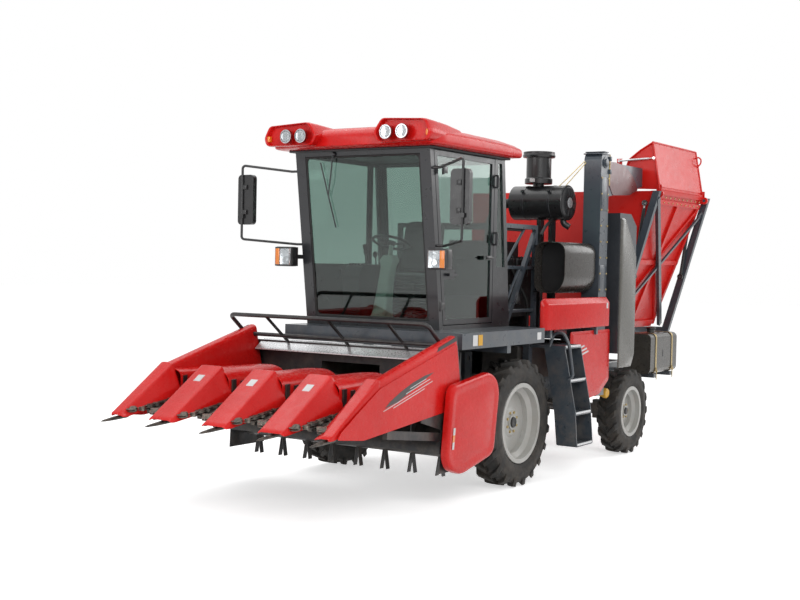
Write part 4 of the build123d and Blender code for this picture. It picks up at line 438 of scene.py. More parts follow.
def cheek_corners(inner, outer, low, top, lean_share, bend_share):
    """An outer divider's section: its inner side leans in above a bend."""
    lean = (outer - inner) * lean_share
    return [(inner, low), (inner + lean * 0.1, low + (top - low) * bend_share), (inner + lean, top),
            (outer, top), (outer, low)]


def add_cheek(mesh, stations, side, lean_share=0.18, bend_share=0.55):
    """A folded cover over an outer divider, inside its side sheet."""
    sections = []
    for x, inner, outer, low, top, radius in stations:
        corners = cheek_corners(inner, outer - SKIN * 1.2, low, top, lean_share, bend_share)
        sections.append((x, [(side * y, z) for y, z in sheet_loop(corners, radius, SKIN)]))
    loft(mesh, "x", sections)


def add_plate(mesh, outline, across, low, high):
    """A flat plate: its outline runs in the other two axes, its thickness along one."""
    loft(mesh, across, [(low, outline), (high, outline)])


for side in (-1, 1):
    add_cheek(hoods, CHEEK_STATIONS, side)
    add_cheek(hoods, SIDE_NOSE_STATIONS, side, lean_share=0.45, bend_share=0.3)
    add_arch_run(hoods, SIDE_ARCH_STATIONS, side * SIDE_ARCH_Y)
    add_plate(hoods, rounded(SIDE_SHEET, 0.03), "y", side * (SIDE_OUTER_Y - SKIN), side * SIDE_OUTER_Y)
new_piece("divider_sheets", hoods, red_enamel, "header", replaced=("divider_covers",))


def turned(mesh, start, end, profile, steps=28):
    """Spins a profile of (share of the way, radius) round the line between two points."""
    start, end = Vector(start), Vector(end)
    along = end - start
    axis = along.normalized()
    side = axis.orthogonal().normalized()
    other = axis.cross(side)
    skin_over(mesh, [ring(start + along * share, side, other, radius, steps) for share, radius in profile])


POINT_SHARES = [(0.0, 0.017), (0.06, 0.019), (0.55, 0.016), (0.9, 0.009), (1.0, 0.003)]
points = bmesh.new()
OUTER_POINT_Y = 1.085
for y in (-OUTER_POINT_Y, -ROW_PITCH, 0, ROW_PITCH, OUTER_POINT_Y):
    turned(points, (3.56, y, 0.765), (3.862, y, 0.742), POINT_SHARES)
new_piece("divider_points", points, worked_steel, "header")


# Stops, blank plates, stripes and the galvanised apron on the header.
# Black sheet stops stand behind each nose on both sides of a row. The outer side sheets carry a dark sweep
# and plain white pinstripes, the noses small blank plates, and a pale galvanised apron closes the top of
# the back wall.
stops = bmesh.new()
middle_stops = [line * ROW_PITCH + side * 0.207 for line in (-1, 0, 1) for side in (-1, 1)]
for y in middle_stops + [0.222 - 2 * ROW_PITCH, 2 * ROW_PITCH - 0.222]:
    for x, height in ((2.93, 0.135), (3.045, 0.15)):
        stop_line = [(x - 0.03, 0.93), (x + 0.015, 0.925), (x + 0.012, 0.93 + height),
                     (x - 0.034, 0.935 + height)]
        add_plate(stops, stop_line, "y", y - 0.016, y + 0.016)
new_piece("row_stops", stops, header_black, "header")

plate_white = enamel("plate_white", (0.62, 0.62, 0.62), gloss=0.35, dust=0.1, coat=0.1)
sweep_dark = enamel("sweep_dark", (0.022, 0.016, 0.016), gloss=0.3, dust=0.1, coat=0.2)
PROUD = 0.0012


def side_strip(mesh, outline, side, proud=PROUD):
    """A thin decal on the outer side sheet."""
    add_plate(mesh, outline, "y", side * (SIDE_OUTER_Y - PROUD), side * (SIDE_OUTER_Y + proud))


STRIPE_FALL = 0.2642
sweeps, pinstripes = bmesh.new(), bmesh.new()
for side in (-1, 1):
    sweep = [(3.02, 0.958), (2.95, 1.005), (2.8, 1.072), (2.62, 1.135), (2.44, 1.18), (2.3, 1.2),
             (2.42, 1.155), (2.56, 1.1), (2.7, 1.045), (2.84, 0.995)]
    side_strip(sweeps, sweep, side)
    for shift, x_from, x_to in ((0.0, 3.04, 2.32), (0.03, 2.72, 2.36), (0.052, 2.66, 2.42),
                                (-0.022, 2.9, 2.44)):
        line = [(x_from, 0.94 + shift + (3.04 - x_from) * STRIPE_FALL),
                (x_to, 0.94 + shift + (3.04 - x_to) * STRIPE_FALL)]
        side_strip(pinstripes, line + [(x, z - 0.006) for x, z in line[::-1]], side, proud=PROUD * 1.5)
new_piece("side_sweeps", sweeps, sweep_dark, "header")

NOSE_BACK, NOSE_FRONT = NOSE_STATIONS[2:4]
NOSE_FALL = (NOSE_BACK[4] - NOSE_FRONT[4]) / (NOSE_FRONT[0] - NOSE_BACK[0])
for y in (-ROW_PITCH, 0, ROW_PITCH):
    plate = [(x, y + across, NOSE_BACK[4] - (x - NOSE_BACK[0]) * NOSE_FALL)
             for x, across in oblong((3.2, -0.036), (3.27, 0.036))]
    skin_over(pinstripes, [[(x, across, z + lift) for x, across, z in plate] for lift in (-0.001, 0.0015)])
new_piece("blank_plates", pinstripes, plate_white, "header")

galvanised = bare_metal("galvanised", (0.62, 0.63, 0.64), (0.5, 0.51, 0.52), 0.22, 0.38, metal=0.6,
                        grain=60.0)
apron = bmesh.new()
add_plate(apron, [(1.848, 1.35), (1.856, 1.358), (1.985, 1.268), (1.985, 1.258), (1.862, 1.344)], "y",
          -1.02, 1.02)
new_piece("header_apron", apron, galvanised, "header")


# Gathering chains.
# Roller chain with pressed lugs runs along both sides of every row, round an idler under each nose. Links
# and lugs are steel, black with old grease and paler where they are worn.
CHAIN_PITCH = 0.041
CHAIN_BACK, CHAIN_LINKS = 0.42, 17
CHAIN_FRONT = CHAIN_BACK + CHAIN_LINKS * CHAIN_PITCH
CHAIN_ABOVE = 0.03
INNER_RUN, OUTER_RUN = 0.088, 0.182
LUG_EVERY = 4
ROW_SLOPE = math.radians(9)
ROW_BACK = (2.475, 0.969)
chain_steel = bare_metal("chain_steel", (0.1, 0.09, 0.08), (0.24, 0.21, 0.17), 0.32, 0.55, metal=0.85,
                         grain=50.0)
chains = bmesh.new()


def row_point(along, above, y):
    """A point over the snapping plates: a distance forward down their slope, and one square to it."""
    return Vector((ROW_BACK[0] + along * math.cos(ROW_SLOPE) + above * math.sin(ROW_SLOPE), y,
                   ROW_BACK[1] - along * math.sin(ROW_SLOPE) + above * math.cos(ROW_SLOPE)))


row_ahead = row_point(1, 0, 0) - row_point(0, 0, 0)
row_up = row_point(0, 1, 0) - row_point(0, 0, 0)


def clipped(along_share, across_share):
    """A square about zero with its corners cut off, up to a share of each half side."""
    a, b = along_share, across_share
    return [(-1, -b), (-a, -1), (a, -1), (1, -b), (1, b), (a, 1), (-a, 1), (-1, b)]


def slab(mesh, middle, along, across, half_length, half_width, half_height):
    """A small rectangular link plate, square to a direction."""
    up = along.cross(across)
    skin_over(mesh, [[middle + along * a * half_length + across * b * half_width + up * level
                      for a, b in clipped(0.7, 0.6)] for level in (-half_height, half_height)])


for row in range(4):
    row_y = (row - 1.5) * ROW_PITCH
    for side in (-1, 1):
        run = [CHAIN_BACK + k * CHAIN_PITCH for k in range(CHAIN_LINKS)]
        loop = [(along, INNER_RUN, 0.0) for along in run]
        loop += [(CHAIN_FRONT + 0.03, 0.103, -0.7), (CHAIN_FRONT + 0.042, 0.135, -1.57),
                 (CHAIN_FRONT + 0.03, 0.167, -2.4)]
        loop += [(along, OUTER_RUN, 3.1416) for along in run[::-1]]
        for k, (along, across, heading) in enumerate(loop):
            middle = row_point(along, CHAIN_ABOVE, row_y + side * across)
            ahead = row_ahead * math.cos(heading) + Vector((0, -side, 0)) * math.sin(heading)
            outward = ahead.cross(row_up)
            for level in (-0.009, 0.009):
                slab(chains, middle + row_up * level, ahead, outward, 0.023, 0.01, 0.0022)
            if k % LUG_EVERY == 0:
                inward = outward * (1 if outward.y * side < 0 else -1)
                slab(chains, middle + inward * 0.022, ahead, inward, 0.012, 0.026, 0.016)
        hub = row_point(CHAIN_FRONT - 0.005, CHAIN_ABOVE, row_y + side * (INNER_RUN + OUTER_RUN) / 2)
        turned(chains, hub - row_up * 0.02, hub + row_up * 0.024,
               [(0, 0.03), (0.3, 0.036), (0.7, 0.036), (1, 0.022)], steps=16)
new_piece("gathering_chains", chains, chain_steel, "header")


# Cab frame and door, their glass, and the wiper.
# A welded frame of pressed pillars in satin black with a narrow sheen, and green-tinted flat glass bonded
# to it; the glass is tinted darker than its own green, as painted shade for the dim inside of the cab. One
# wiper hangs from the head of the windscreen, and a rubber seal runs round it.
cab_black = enamel("cab_black", (0.014, 0.015, 0.018), gloss=0.3, dust=0.06, coat=0.3)
paint_nodes(cab_black, "cab_shell", "cab_door")


def glass(name, colour, cloud, detail, low, high):
    """Clear or tinted glass with a faint film that changes its roughness between two limits."""
    pane, tree, shader = new_material(name)
    set_inputs(shader, {"Base Color": (*colour, 1), "IOR": 1.45, "Transmission Weight": 1.0})
    tree.links.new(spread(tree, tone(tree, cloud, detail), 0.4, 0.8, low, high), shader.inputs["Roughness"])
    return pane


# The glass colour is a green tint made darker to paint in the shade inside the cab.
tint_and_shade_glass = glass("tint_and_shade_glass", (0.36, 0.47, 0.43), 3.0, 5, 0.01, 0.06)
paint_nodes(tint_and_shade_glass, "cab_glass", "door_glass")
SCREEN_FOOT = (1.535, 1.5)
SCREEN_HEAD = (1.765, 3.14)
screen_lean = (SCREEN_HEAD[0] - SCREEN_FOOT[0]) / (SCREEN_HEAD[1] - SCREEN_FOOT[1])


def tube(mesh, points, radius, bend=0.04, sides=12):
    """A bent round tube with closed ends."""
    path = [Vector(point) for point in rounded(points, bend, steps=6, closed=False)]
    side = (path[1] - path[0]).orthogonal().normalized()
    sections = []
    for k, point in enumerate(path):
        ahead = (path[min(k + 1, len(path) - 1)] - path[max(k - 1, 0)]).normalized()
        side = (side - ahead * side.dot(ahead)).normalized()
        other = ahead.cross(side)
        sections.append(ring(point, side, other, radius, sides))
    skin_over(mesh, sections)


def soft_box(mesh, low, high, edge=0.006, segments=2):
    """A box with rounded edges between two corners."""
    corners = [mesh.verts.new((x, y, z)) for x in (low[0], high[0]) for y in (low[1], high[1])
               for z in (low[2], high[2])]
    sides = [(0, 1, 3, 2), (4, 6, 7, 5), (0, 4, 5, 1), (2, 3, 7, 6), (0, 2, 6, 4), (1, 5, 7, 3)]
    faces = [mesh.faces.new([corners[k] for k in side]) for side in sides]
    edges = list({e for face in faces for e in face.edges})
    bmesh.ops.bevel(mesh, geom=edges, offset=edge, segments=segments, profile=0.5, affect="EDGES")


def on_screen(y, z, proud):
    """A point so far in front of the cab's leaning front face."""
    return SCREEN_FOOT[0] + screen_lean * (z - SCREEN_FOOT[1]) + proud, y, z


WIPER_Y, WIPER_Z = -0.3, 3.095
wiper = bmesh.new()
turned(wiper, on_screen(WIPER_Y, WIPER_Z, -0.004), on_screen(WIPER_Y, WIPER_Z, 0.03),
       [(0, 0.022), (0.7, 0.022), (1, 0.014)])
tube(wiper, [on_screen(WIPER_Y, WIPER_Z, 0.02), on_screen(WIPER_Y - 0.05, 2.85, 0.022),
             on_screen(WIPER_Y - 0.09, 2.72, 0.012)], 0.006)
tube(wiper, [on_screen(WIPER_Y - 0.16, 3.02, 0.006), on_screen(WIPER_Y - 0.03, 2.42, 0.006)], 0.007, sides=6)
new_piece("windscreen_wiper", wiper, cab_black, "chassis")

rubber_black = enamel("rubber_black", (0.01, 0.01, 0.01), gloss=0.6, dust=0.1, coat=0.0)
seals = bmesh.new()
SEAL_Y, SEAL_Z = 0.632, (1.588, 3.072)
seal_corners = [(-SEAL_Y, SEAL_Z[0]), (-SEAL_Y, SEAL_Z[1]), (SEAL_Y, SEAL_Z[1]), (SEAL_Y, SEAL_Z[0])]
for start, end in zip(seal_corners, seal_corners[1:] + seal_corners[:1]):
    tube(seals, [on_screen(*start, -0.012), on_screen(*end, -0.012)], 0.011, sides=8)
for y in (-SEAL_Y, SEAL_Y):
    for z in SEAL_Z:
        inward_y, inward_z = -math.copysign(0.075, y), math.copysign(0.075, 2.3 - z)
        outline = [(y, z)] + [(y + inward_y * (1 - math.sin(turn)), z + inward_z * (1 - math.cos(turn)))
                              for turn in (math.pi / 2 * step / 8 for step in range(9))]
        skin_over(seals, [[on_screen(*point, proud) for point in outline] for proud in (-0.016, -0.006)])
new_piece("windscreen_seal", seals, rubber_black, "chassis")


# Driver's seat.
# A sprung pedestal under a rubber bellows carries a squab and a backrest of moulded foam in dark woven
# cloth, sewn in channels across the middle and piped along its sides.
seat_cloth, tree, shader = new_material("seat_cloth")
weave = tone(tree, 420.0, 2, stretch=(1, 6, 1))
tree.links.new(blend_colours(tree, spread(tree, weave, 0.35, 0.65, 0.0, 1.0), (0.02, 0.021, 0.024),
                             (0.055, 0.058, 0.064)), shader.inputs["Base Color"])
set_inputs(shader, {"Roughness": 0.9, "Sheen Weight": 0.35})
bumpy(tree, shader, weave, 0.4, 0.001)
PAD_CUTS = 22


def cushion(name, middle, size, lean, channels):
    """A crowned foam pad: sides pulled in between its corners, sewn across in channels, leaning about y."""
    pad = bmesh.new()
    bmesh.ops.create_cube(pad, size=2.0)
    bmesh.ops.subdivide_edges(pad, edges=pad.edges, cuts=PAD_CUTS, use_grid_fill=True)
    half = Vector(size) / 2
    turn = Matrix.Rotation(lean, 4, "Y")
    for point in pad.verts:
        u, v, w = point.co
        soft = (abs(u) ** 6 + abs(v) ** 6 + abs(w) ** 6) ** (1 / 6)
        u, v, w = u / soft, v / soft, w / soft
        pull = 1 - 0.05 * (1 - v * v) * (1 - abs(w)), 1 - 0.04 * (1 - u * u) * (1 - abs(w))
        crown = 0.24 * (1 - u * u) * (1 - v * v)
        groove = sum(math.exp(-((u - at) / 0.035) ** 2) for at in channels) * (1 if w > 0 else 0)
        piping = math.exp(-((abs(v) - 0.62) / 0.03) ** 2) * (1 if w > 0 else 0)
        height = w * half.z * (1 + crown) - (groove * 0.16 + piping * 0.12) * half.z * (abs(w) ** 3)
        spot = Vector((u * half.x * pull[0], v * half.y * pull[1], height))
        point.co = Vector(middle) + (turn @ spot)
    piece = new_piece(name, pad, seat_cloth, "chassis", replaced=("cab_interior",), sharp=70)


SEAT_X = 0.9
SEAT_TOP_Z = 2.0
BACK_LEAN = math.radians(78)
cushion("seat_squab", (SEAT_X, 0, SEAT_TOP_Z - 0.055), (0.44, 0.46, 0.1), 0.0, (-0.45, 0.0, 0.45))
cushion("seat_backrest", (SEAT_X - 0.235, 0, SEAT_TOP_Z + 0.27), (0.5, 0.43, 0.095), BACK_LEAN,
        (-0.5, -0.1, 0.3))

cab_plastic = enamel("cab_plastic", (0.022, 0.022, 0.024), gloss=0.5, dust=0.05, coat=0.0)
pale_plastic = enamel("pale_plastic", (0.5, 0.54, 0.5), gloss=0.4, dust=0.05, coat=0.1)
FLOOR_TOP_Z = 1.561
seat_base = bmesh.new()
soft_box(seat_base, (0.7, -0.19, SEAT_TOP_Z - 0.135), (1.1, 0.19, SEAT_TOP_Z - 0.105), 0.01)
BELLOWS_FOLDS = 7
FOLD_PITCH = 0.036
for fold in range(BELLOWS_FOLDS):
    low_z = FLOOR_TOP_Z + 0.05 + fold * FOLD_PITCH
    half = 0.135 if fold % 2 else 0.15
    soft_box(seat_base, (SEAT_X - half, -half, low_z), (SEAT_X + half, half, low_z + FOLD_PITCH - 0.002),
             0.012)
soft_box(seat_base, (0.72, -0.18, FLOOR_TOP_Z), (1.08, 0.18, FLOOR_TOP_Z + 0.048), 0.008)
for side in (-1, 1):
    tube(seat_base, [(0.74, side * 0.235, SEAT_TOP_Z + 0.02), (0.74, side * 0.25, SEAT_TOP_Z + 0.16),
                     (1.0, side * 0.25, SEAT_TOP_Z + 0.16)], 0.016)
new_piece("seat_base", seat_base, cab_plastic, "chassis", replaced=("cab_interior",))


# Steering column, wheel and console.
# A tapered moulded fairing in pale plastic over the column, a thin-rimmed wheel with three spokes, and a
# console beside the seat with three levers and a row of switches.
column = bmesh.new()
COLUMN_STATIONS = [
    # x, half length, half width, z
    (1.365, 0.085, 0.095, FLOOR_TOP_Z), (1.345, 0.07, 0.075, 1.66), (1.31, 0.06, 0.065, 1.85),
    (1.262, 0.055, 0.062, 2.06), (1.246, 0.068, 0.082, 2.12), (1.236, 0.05, 0.06, 2.17),
]
column_sections = []
for x, half_length, half_width, z in COLUMN_STATIONS:
    corners = oblong((-half_length, -half_width), (half_length, half_width))
    column_sections.append((z, [(x + along, across) for along, across in rounded(corners, 0.03)]))
loft(column, "z", column_sections)
turned(column, (1.238, 0, 2.16), (1.214, 0, 2.285), [(0, 0.024), (1, 0.02)])
new_piece("steering_column", column, pale_plastic, "chassis", replaced=("cab_interior",))

WHEEL_HUB = Vector((1.212, 0, 2.292))
WHEEL_AXIS = Vector((-0.33, 0, 0.944)).normalized()
wheel_side = WHEEL_AXIS.cross(Vector((0, 1, 0))).normalized()
RIM_R, GRIP_R = 0.185, 0.013
wheel = bmesh.new()
rim_sections = []
RIM_STEPS, GRIP_SIDES = 48, 10
for turn in full_turn(RIM_STEPS):
    out = wheel_side * math.cos(turn) + Vector((0, 1, 0)) * math.sin(turn)
    rim_sections.append([WHEEL_HUB + out * (RIM_R + GRIP_R * math.cos(a)) + WHEEL_AXIS * GRIP_R * math.sin(a)
                         for a in full_turn(GRIP_SIDES)])
skin_over(wheel, rim_sections, looped=True)
for turn in [math.radians(angle) for angle in (90, 210, 330)]:
    out = wheel_side * math.cos(turn) + Vector((0, 1, 0)) * math.sin(turn)
    boss = WHEEL_HUB - WHEEL_AXIS * 0.012
    tube(wheel, [boss, boss + out * 0.1, WHEEL_HUB + out * RIM_R], 0.009)
turned(wheel, WHEEL_HUB - WHEEL_AXIS * 0.03, WHEEL_HUB + WHEEL_AXIS * 0.012,
       [(0, 0.03), (0.5, 0.045), (0.9, 0.04), (1, 0.02)])
new_piece("steering_wheel", wheel, cab_plastic, "chassis", replaced=("cab_interior",))

console = bmesh.new()
CONSOLE_SIDE = [(0.665, FLOOR_TOP_Z), (1.2, FLOOR_TOP_Z), (1.24, 1.95), (1.17, 2.07), (0.8, 2.08),
                (0.665, 1.98)]
add_plate(console, rounded(CONSOLE_SIDE, 0.04), "y", -0.558, -0.362)
for x, y, height in ((1.02, -0.43, 0.17), (0.92, -0.49, 0.12), (0.84, -0.43, 0.1)):
    tube(console, [(x, y, 2.06), (x + 0.02, y, 2.07 + height)], 0.007)
    turned(console, (x + 0.02, y, 2.05 + height), (x + 0.025, y, 2.11 + height),
           [(0, 0.012), (0.3, 0.022), (0.8, 0.024), (1, 0.01)])
SWITCH_PITCH = 0.036
for k in range(5):
    soft_box(console, (1.1, -0.545 + k * SWITCH_PITCH, 2.055), (1.15, -0.52 + k * SWITCH_PITCH, 2.09), 0.004)
new_piece("cab_console", console, cab_plastic, "chassis", replaced=("cab_interior",))


# Roof.
# A moulded lid that overhangs the cab all round, crowned across and rounded at its corners, with two
# faceted lamp pods that stand out of its front corners, and a short aerial on a cone.
ROOF_STATIONS = [
    # x, half width, lower edge, shoulder, crown
    (0.246, 0.79, 3.165, 3.215, 3.232), (0.262, 0.86, 3.15, 3.245, 3.268), (0.31, 0.898, 3.142, 3.272, 3.3),
    (0.6, 0.905, 3.14, 3.29, 3.325), (1.2, 0.905, 3.14, 3.3, 3.34), (1.7, 0.905, 3.14, 3.298, 3.338),
    (1.85, 0.9, 3.14, 3.28, 3.318), (1.91, 0.88, 3.144, 3.25, 3.285), (1.935, 0.84, 3.156, 3.215, 3.245),
]
roof = bmesh.new()
roof_sections = []
for x, half, low, shoulder, crown in ROOF_STATIONS:
    corners = [(-half, low), (half, low), (half, shoulder - 0.055), (half - 0.11, shoulder), (0.3, crown),
               (-0.3, crown), (-half + 0.11, shoulder), (-half, shoulder - 0.055)]
    roof_sections.append((x, rounded(corners, 0.035)))
loft(roof, "x", roof_sections)
POD_MIDDLE = (0.615, 3.262)
POD_CORNERS = [(0.305, 3.245), (0.365, 3.156), (0.895, 3.162), (0.93, 3.235), (0.865, 3.352), (0.4, 3.374)]
POD_SHARES = [
    # x, share of the full section
    (1.3, 0.66), (1.6, 0.86), (1.85, 0.96), (1.99, 1.0), (2.02, 0.985), (2.029, 0.95), (2.024, 0.9),
    (1.985, 0.85),
]


def shrunk(loop, middle, first_share, second_share):
    """An outline scaled about its middle, by one share in each direction."""
    return [(middle[0] + (first - middle[0]) * first_share, middle[1] + (second - middle[1]) * second_share)
            for first, second in loop]


for side in (-1, 1):
    loft(roof, "x",
         [(x, [(side * y, z) for y, z in rounded(shrunk(POD_CORNERS, POD_MIDDLE, share, share), 0.035)])
          for x, share in POD_SHARES])
new_piece("roof_lid", roof, red_enamel, "chassis", replaced=("cab_roof",))

AERIAL_X, AERIAL_Y = 0.62, -0.25
cone = bmesh.new()
turned(cone, (AERIAL_X, AERIAL_Y, 3.32), (AERIAL_X, AERIAL_Y, 3.375),
       [(0, 0.05), (0.25, 0.048), (0.8, 0.024), (1, 0.018)])
new_piece("aerial_cone", cone, red_enamel, "chassis", replaced=("cab_roof",))
aerial = bmesh.new()
turned(aerial, (AERIAL_X, AERIAL_Y, 3.37), (AERIAL_X, AERIAL_Y, 3.44),
       [(0, 0.006), (0.75, 0.005), (0.8, 0.012), (0.93, 0.012), (1, 0.004)])
new_piece("aerial_tip", aerial, chromed_rod, "chassis")
lining = bmesh.new()
soft_box(lining, (0.36, -0.8, 3.12), (1.8, 0.8, 3.1405), 0.006)
new_piece("roof_lining", lining, cab_plastic, "chassis", replaced=("cab_roof",))


# Lamps, mirrors, door furniture and amber markers on the cab.
# Round work lamps have a chrome ring and a dished reflector under clear glass; headlamps sit in moulded
# black boxes with an amber outer lens; the mirror heads have flat silvered glass facing the driver.
cleaner_black = enamel("cleaner_black", (0.015, 0.015, 0.016), gloss=0.3, dust=0.06, coat=0.2)
paint_nodes(cleaner_black, "mirrors", "lamps")
chrome = bare_metal("chrome", (0.5, 0.51, 0.53), (0.34, 0.35, 0.37), 0.06, 0.16, grain=60.0)
lamp_glass = glass("lamp_glass", (0.93, 0.95, 0.95), 9.0, 3, 0.02, 0.09)
amber, tree, shader = new_material("amber_lens")
set_inputs(shader, {"Base Color": (0.8, 0.22, 0.015, 1), "Subsurface Weight": 0.2, "Coat Weight": 0.5})
tree.links.new(spread(tree, tone(tree, 12.0, 3), 0.4, 0.8, 0.1, 0.22), shader.inputs["Roughness"])
bumpy(tree, shader, tone(tree, 140.0, 1), 0.4, 0.002)
mirror_silver = bare_metal("mirror_silver", (0.8, 0.82, 0.83), (0.72, 0.74, 0.75), 0.02, 0.06, grain=4.0)

rings, reflectors, lenses, ambers, plain_black = (bmesh.new() for _ in range(5))
ROOF_LAMP_Y = (-0.64, -0.47, 0.47, 0.64)
ROOF_LAMP_Z = 3.245
ROOF_LAMP_PARTS = [
    # mesh, back x, front x, profile from back to front
    (rings, 2.04, 2.062, [(0.0, 0.0635), (0.9, 0.0635), (1.0, 0.06), (1.0, 0.052), (0.8, 0.05),
                          (0.42, 0.049)]),
    (reflectors, 2.0485, 2.0565, [(0.0, 0.01), (0.1, 0.012), (0.9, 0.048), (1.0, 0.049)]),
    (lenses, 2.0585, 2.065, [(0.0, 0.05), (0.4, 0.049), (0.8, 0.036), (1.0, 0.01)]),
]
for y in ROOF_LAMP_Y:
    for mesh, back_x, front_x, profile in ROOF_LAMP_PARTS:
        turned(mesh, (back_x, y, ROOF_LAMP_Z), (front_x, y, ROOF_LAMP_Z), profile)
HEADLAMP_Y = 0.86
LENS_HALF = 0.086
LENS_Z = (2.064, 2.216)
for side in (-1, 1):
    middle_y = side * HEADLAMP_Y
    soft_box(plain_black, (1.69, middle_y - 0.104, 2.046), (1.788, middle_y + 0.104, 2.234), 0.018, 3)
    soft_box(reflectors, (1.7875, middle_y - LENS_HALF, LENS_Z[0]),
             (1.7905, middle_y + LENS_HALF, LENS_Z[1]), 0.002)
    split_y = middle_y + side * 0.036
    clear_low, clear_high = sorted((middle_y - side * LENS_HALF, split_y))
    amber_low, amber_high = sorted((split_y, middle_y + side * LENS_HALF))
    soft_box(lenses, (1.7945, clear_low, LENS_Z[0]), (1.802, clear_high, LENS_Z[1]), 0.003)
    soft_box(ambers, (1.789, amber_low + 0.002, LENS_Z[0]), (1.802, amber_high - 0.002, LENS_Z[1]), 0.003)
    for bulb_z in (2.11, 2.17):
        turned(rings, (1.79, middle_y - side * 0.026, bulb_z), (1.7935, middle_y - side * 0.026, bulb_z),
               [(0, 0.03), (0.5, 0.03), (1, 0.024)])
new_piece("lamp_boxes", plain_black, cleaner_black, "chassis")
new_piece("lamp_rings", rings, chrome, "chassis")
new_piece("lamp_reflectors", reflectors, chrome, "chassis")
new_piece("lamp_lenses", lenses, lamp_glass, "chassis")

MARKERS = [
    # low corner, high corner of each small amber lens
    ((1.958, 0.862, 3.205), (2.018, 0.903, 3.258)),
    ((1.958, -0.903, 3.205), (2.018, -0.862, 3.258)),
    ((1.8, 0.905, 1.392), (1.823, 0.965, 1.432)),
    ((1.33, 1.142, 1.388), (1.4, 1.158, 1.428)),
]
for low, high in MARKERS:
    soft_box(ambers, low, high, 0.006, 3)
new_piece("amber_lenses", ambers, amber, "chassis")

silver, clamps = bmesh.new(), bmesh.new()
for x, low_y, high_y in ((1.8455, 1.058, 1.232), (1.8055, -1.367, -1.193)):
    add_plate(silver, rounded(oblong((low_y, 2.46), (high_y, 2.9)), 0.03), "x", x, x - 0.002)
    middle_y = (low_y + high_y) / 2
    for z in (2.56, 2.8):
        soft_box(clamps, (x + 0.048, middle_y - 0.024, z - 0.022), (x + 0.072, middle_y + 0.024, z + 0.022),
                 0.006)
new_piece("mirror_glass", silver, mirror_silver, "chassis")
new_piece("mirror_clamps", clamps, cleaner_black, "chassis")

latch = bmesh.new()
soft_box(latch, (0.655, 0.78, 2.145), (0.775, 0.7885, 2.185), 0.004)
tube(latch, [(0.675, 0.788, 2.165), (0.675, 0.806, 2.165), (0.78, 0.806, 2.165), (0.78, 0.788, 2.165)],
     0.007, bend=0.012)
for z in (1.72, 2.94):
    turned(latch, (1.6, 0.794, z - 0.045), (1.6, 0.794, z + 0.045),
           [(0, 0.01), (0.08, 0.0125), (0.92, 0.0125), (1, 0.01)], steps=18)
    soft_box(latch, (1.52, 0.786, z - 0.03), (1.6, 0.793, z + 0.03), 0.003)
new_piece("door_furniture", latch, cleaner_black, "door")


# Wheels.
# Moulded field tyres with deep staggered chevron lugs, ringed sidewalls and a light film of dust, on pressed
# steel rims in light grey enamel, held by yellow zinc-plated bolts round each hub.
rim_grey = enamel("rim_grey", (0.42, 0.42, 0.4), gloss=0.38, dust=0.3, coat=0.1)
WHEELS = [(axle, side) for axle in ("front", "rear") for side in ("left", "right")]
paint_nodes(rim_grey, *[f"rim_{axle}_{side}" for axle, side in WHEELS])
tyre_rubber = enamel("tyre_rubber", (0.014, 0.013, 0.012), gloss=0.68, dust=0.16, coat=0.0)
zinc_yellow = bare_metal("zinc_yellow", (0.46, 0.36, 0.16), (0.3, 0.22, 0.12), 0.3, 0.5, metal=0.8,
                         grain=60.0)
HALF_TRACK = 0.985
VALVE_TURN = 2.2
TYRES = {
    # axle: x, radius, width, bead radius, lugs each side, lug height, hub bolt circle, bolts
    "front": (0.605, 0.605, 0.29, 0.372, 20, 0.036, 0.096, 8),
    "rear": (-2.095, 0.475, 0.24, 0.274, 18, 0.03, 0.076, 6),
}
CARCASS_SHARES = [
    # share of the half width, share of the way from bead to tread
    (0.74, 0.0), (0.8, 0.03), (0.86, 0.1), (0.885, 0.11), (0.9, 0.13), (0.965, 0.3), (0.975, 0.305),
    (0.985, 0.33), (0.99, 0.46), (0.985, 0.6), (0.975, 0.62), (0.97, 0.65), (0.95, 0.8), (0.9, 0.93),
    (0.78, 0.985), (0.4, 1.0), (0.0, 1.0),
]
LUG_SHARES = [(0.03, 1.0), (0.3, 1.0), (0.62, 0.995), (0.88, 0.97), (0.965, 0.86), (0.985, 0.62)]
TYRE_STEPS = 120


def wheel_point(axle_x, axle_z, radius, turn, y):
    """A point at a radius round a wheel's axle, turned from straight up."""
    return (axle_x + radius * math.sin(turn), y, axle_z + radius * math.cos(turn))


def add_lug(mesh, axle, side, turn, edge):
    """One tread bar, from beside the crown to low on the shoulder, trailing towards its outer end."""
    axle_x, radius, width, _, count, tall, _, _ = TYRES[axle]
    half, base = width / 2, radius - tall
    sections = []
    for across, height in LUG_SHARES:
        lean = (across - 0.03) * 1.15 * (2 * math.pi / count) * 0.62
        top = base + tall * height if height > 0.9 else base - tall * (1 - height) * 1.1
        root = base - 0.012 if height > 0.9 else top - 0.02
        wide = 0.026 + 0.008 * across
        loop = []
        for spread_share, level in ((-1.25, root), (-1.02, top - 0.012), (-0.92, top - 0.003), (-0.78, top),
                                    (0.78, top), (0.92, top - 0.003), (1.02, top - 0.012), (1.25, root)):
            reach = turn - lean + spread_share * wide / radius
            loop.append(wheel_point(axle_x, radius, level, reach, side * HALF_TRACK + edge * across * half))
        sections.append(loop)
    skin_over(mesh, sections)


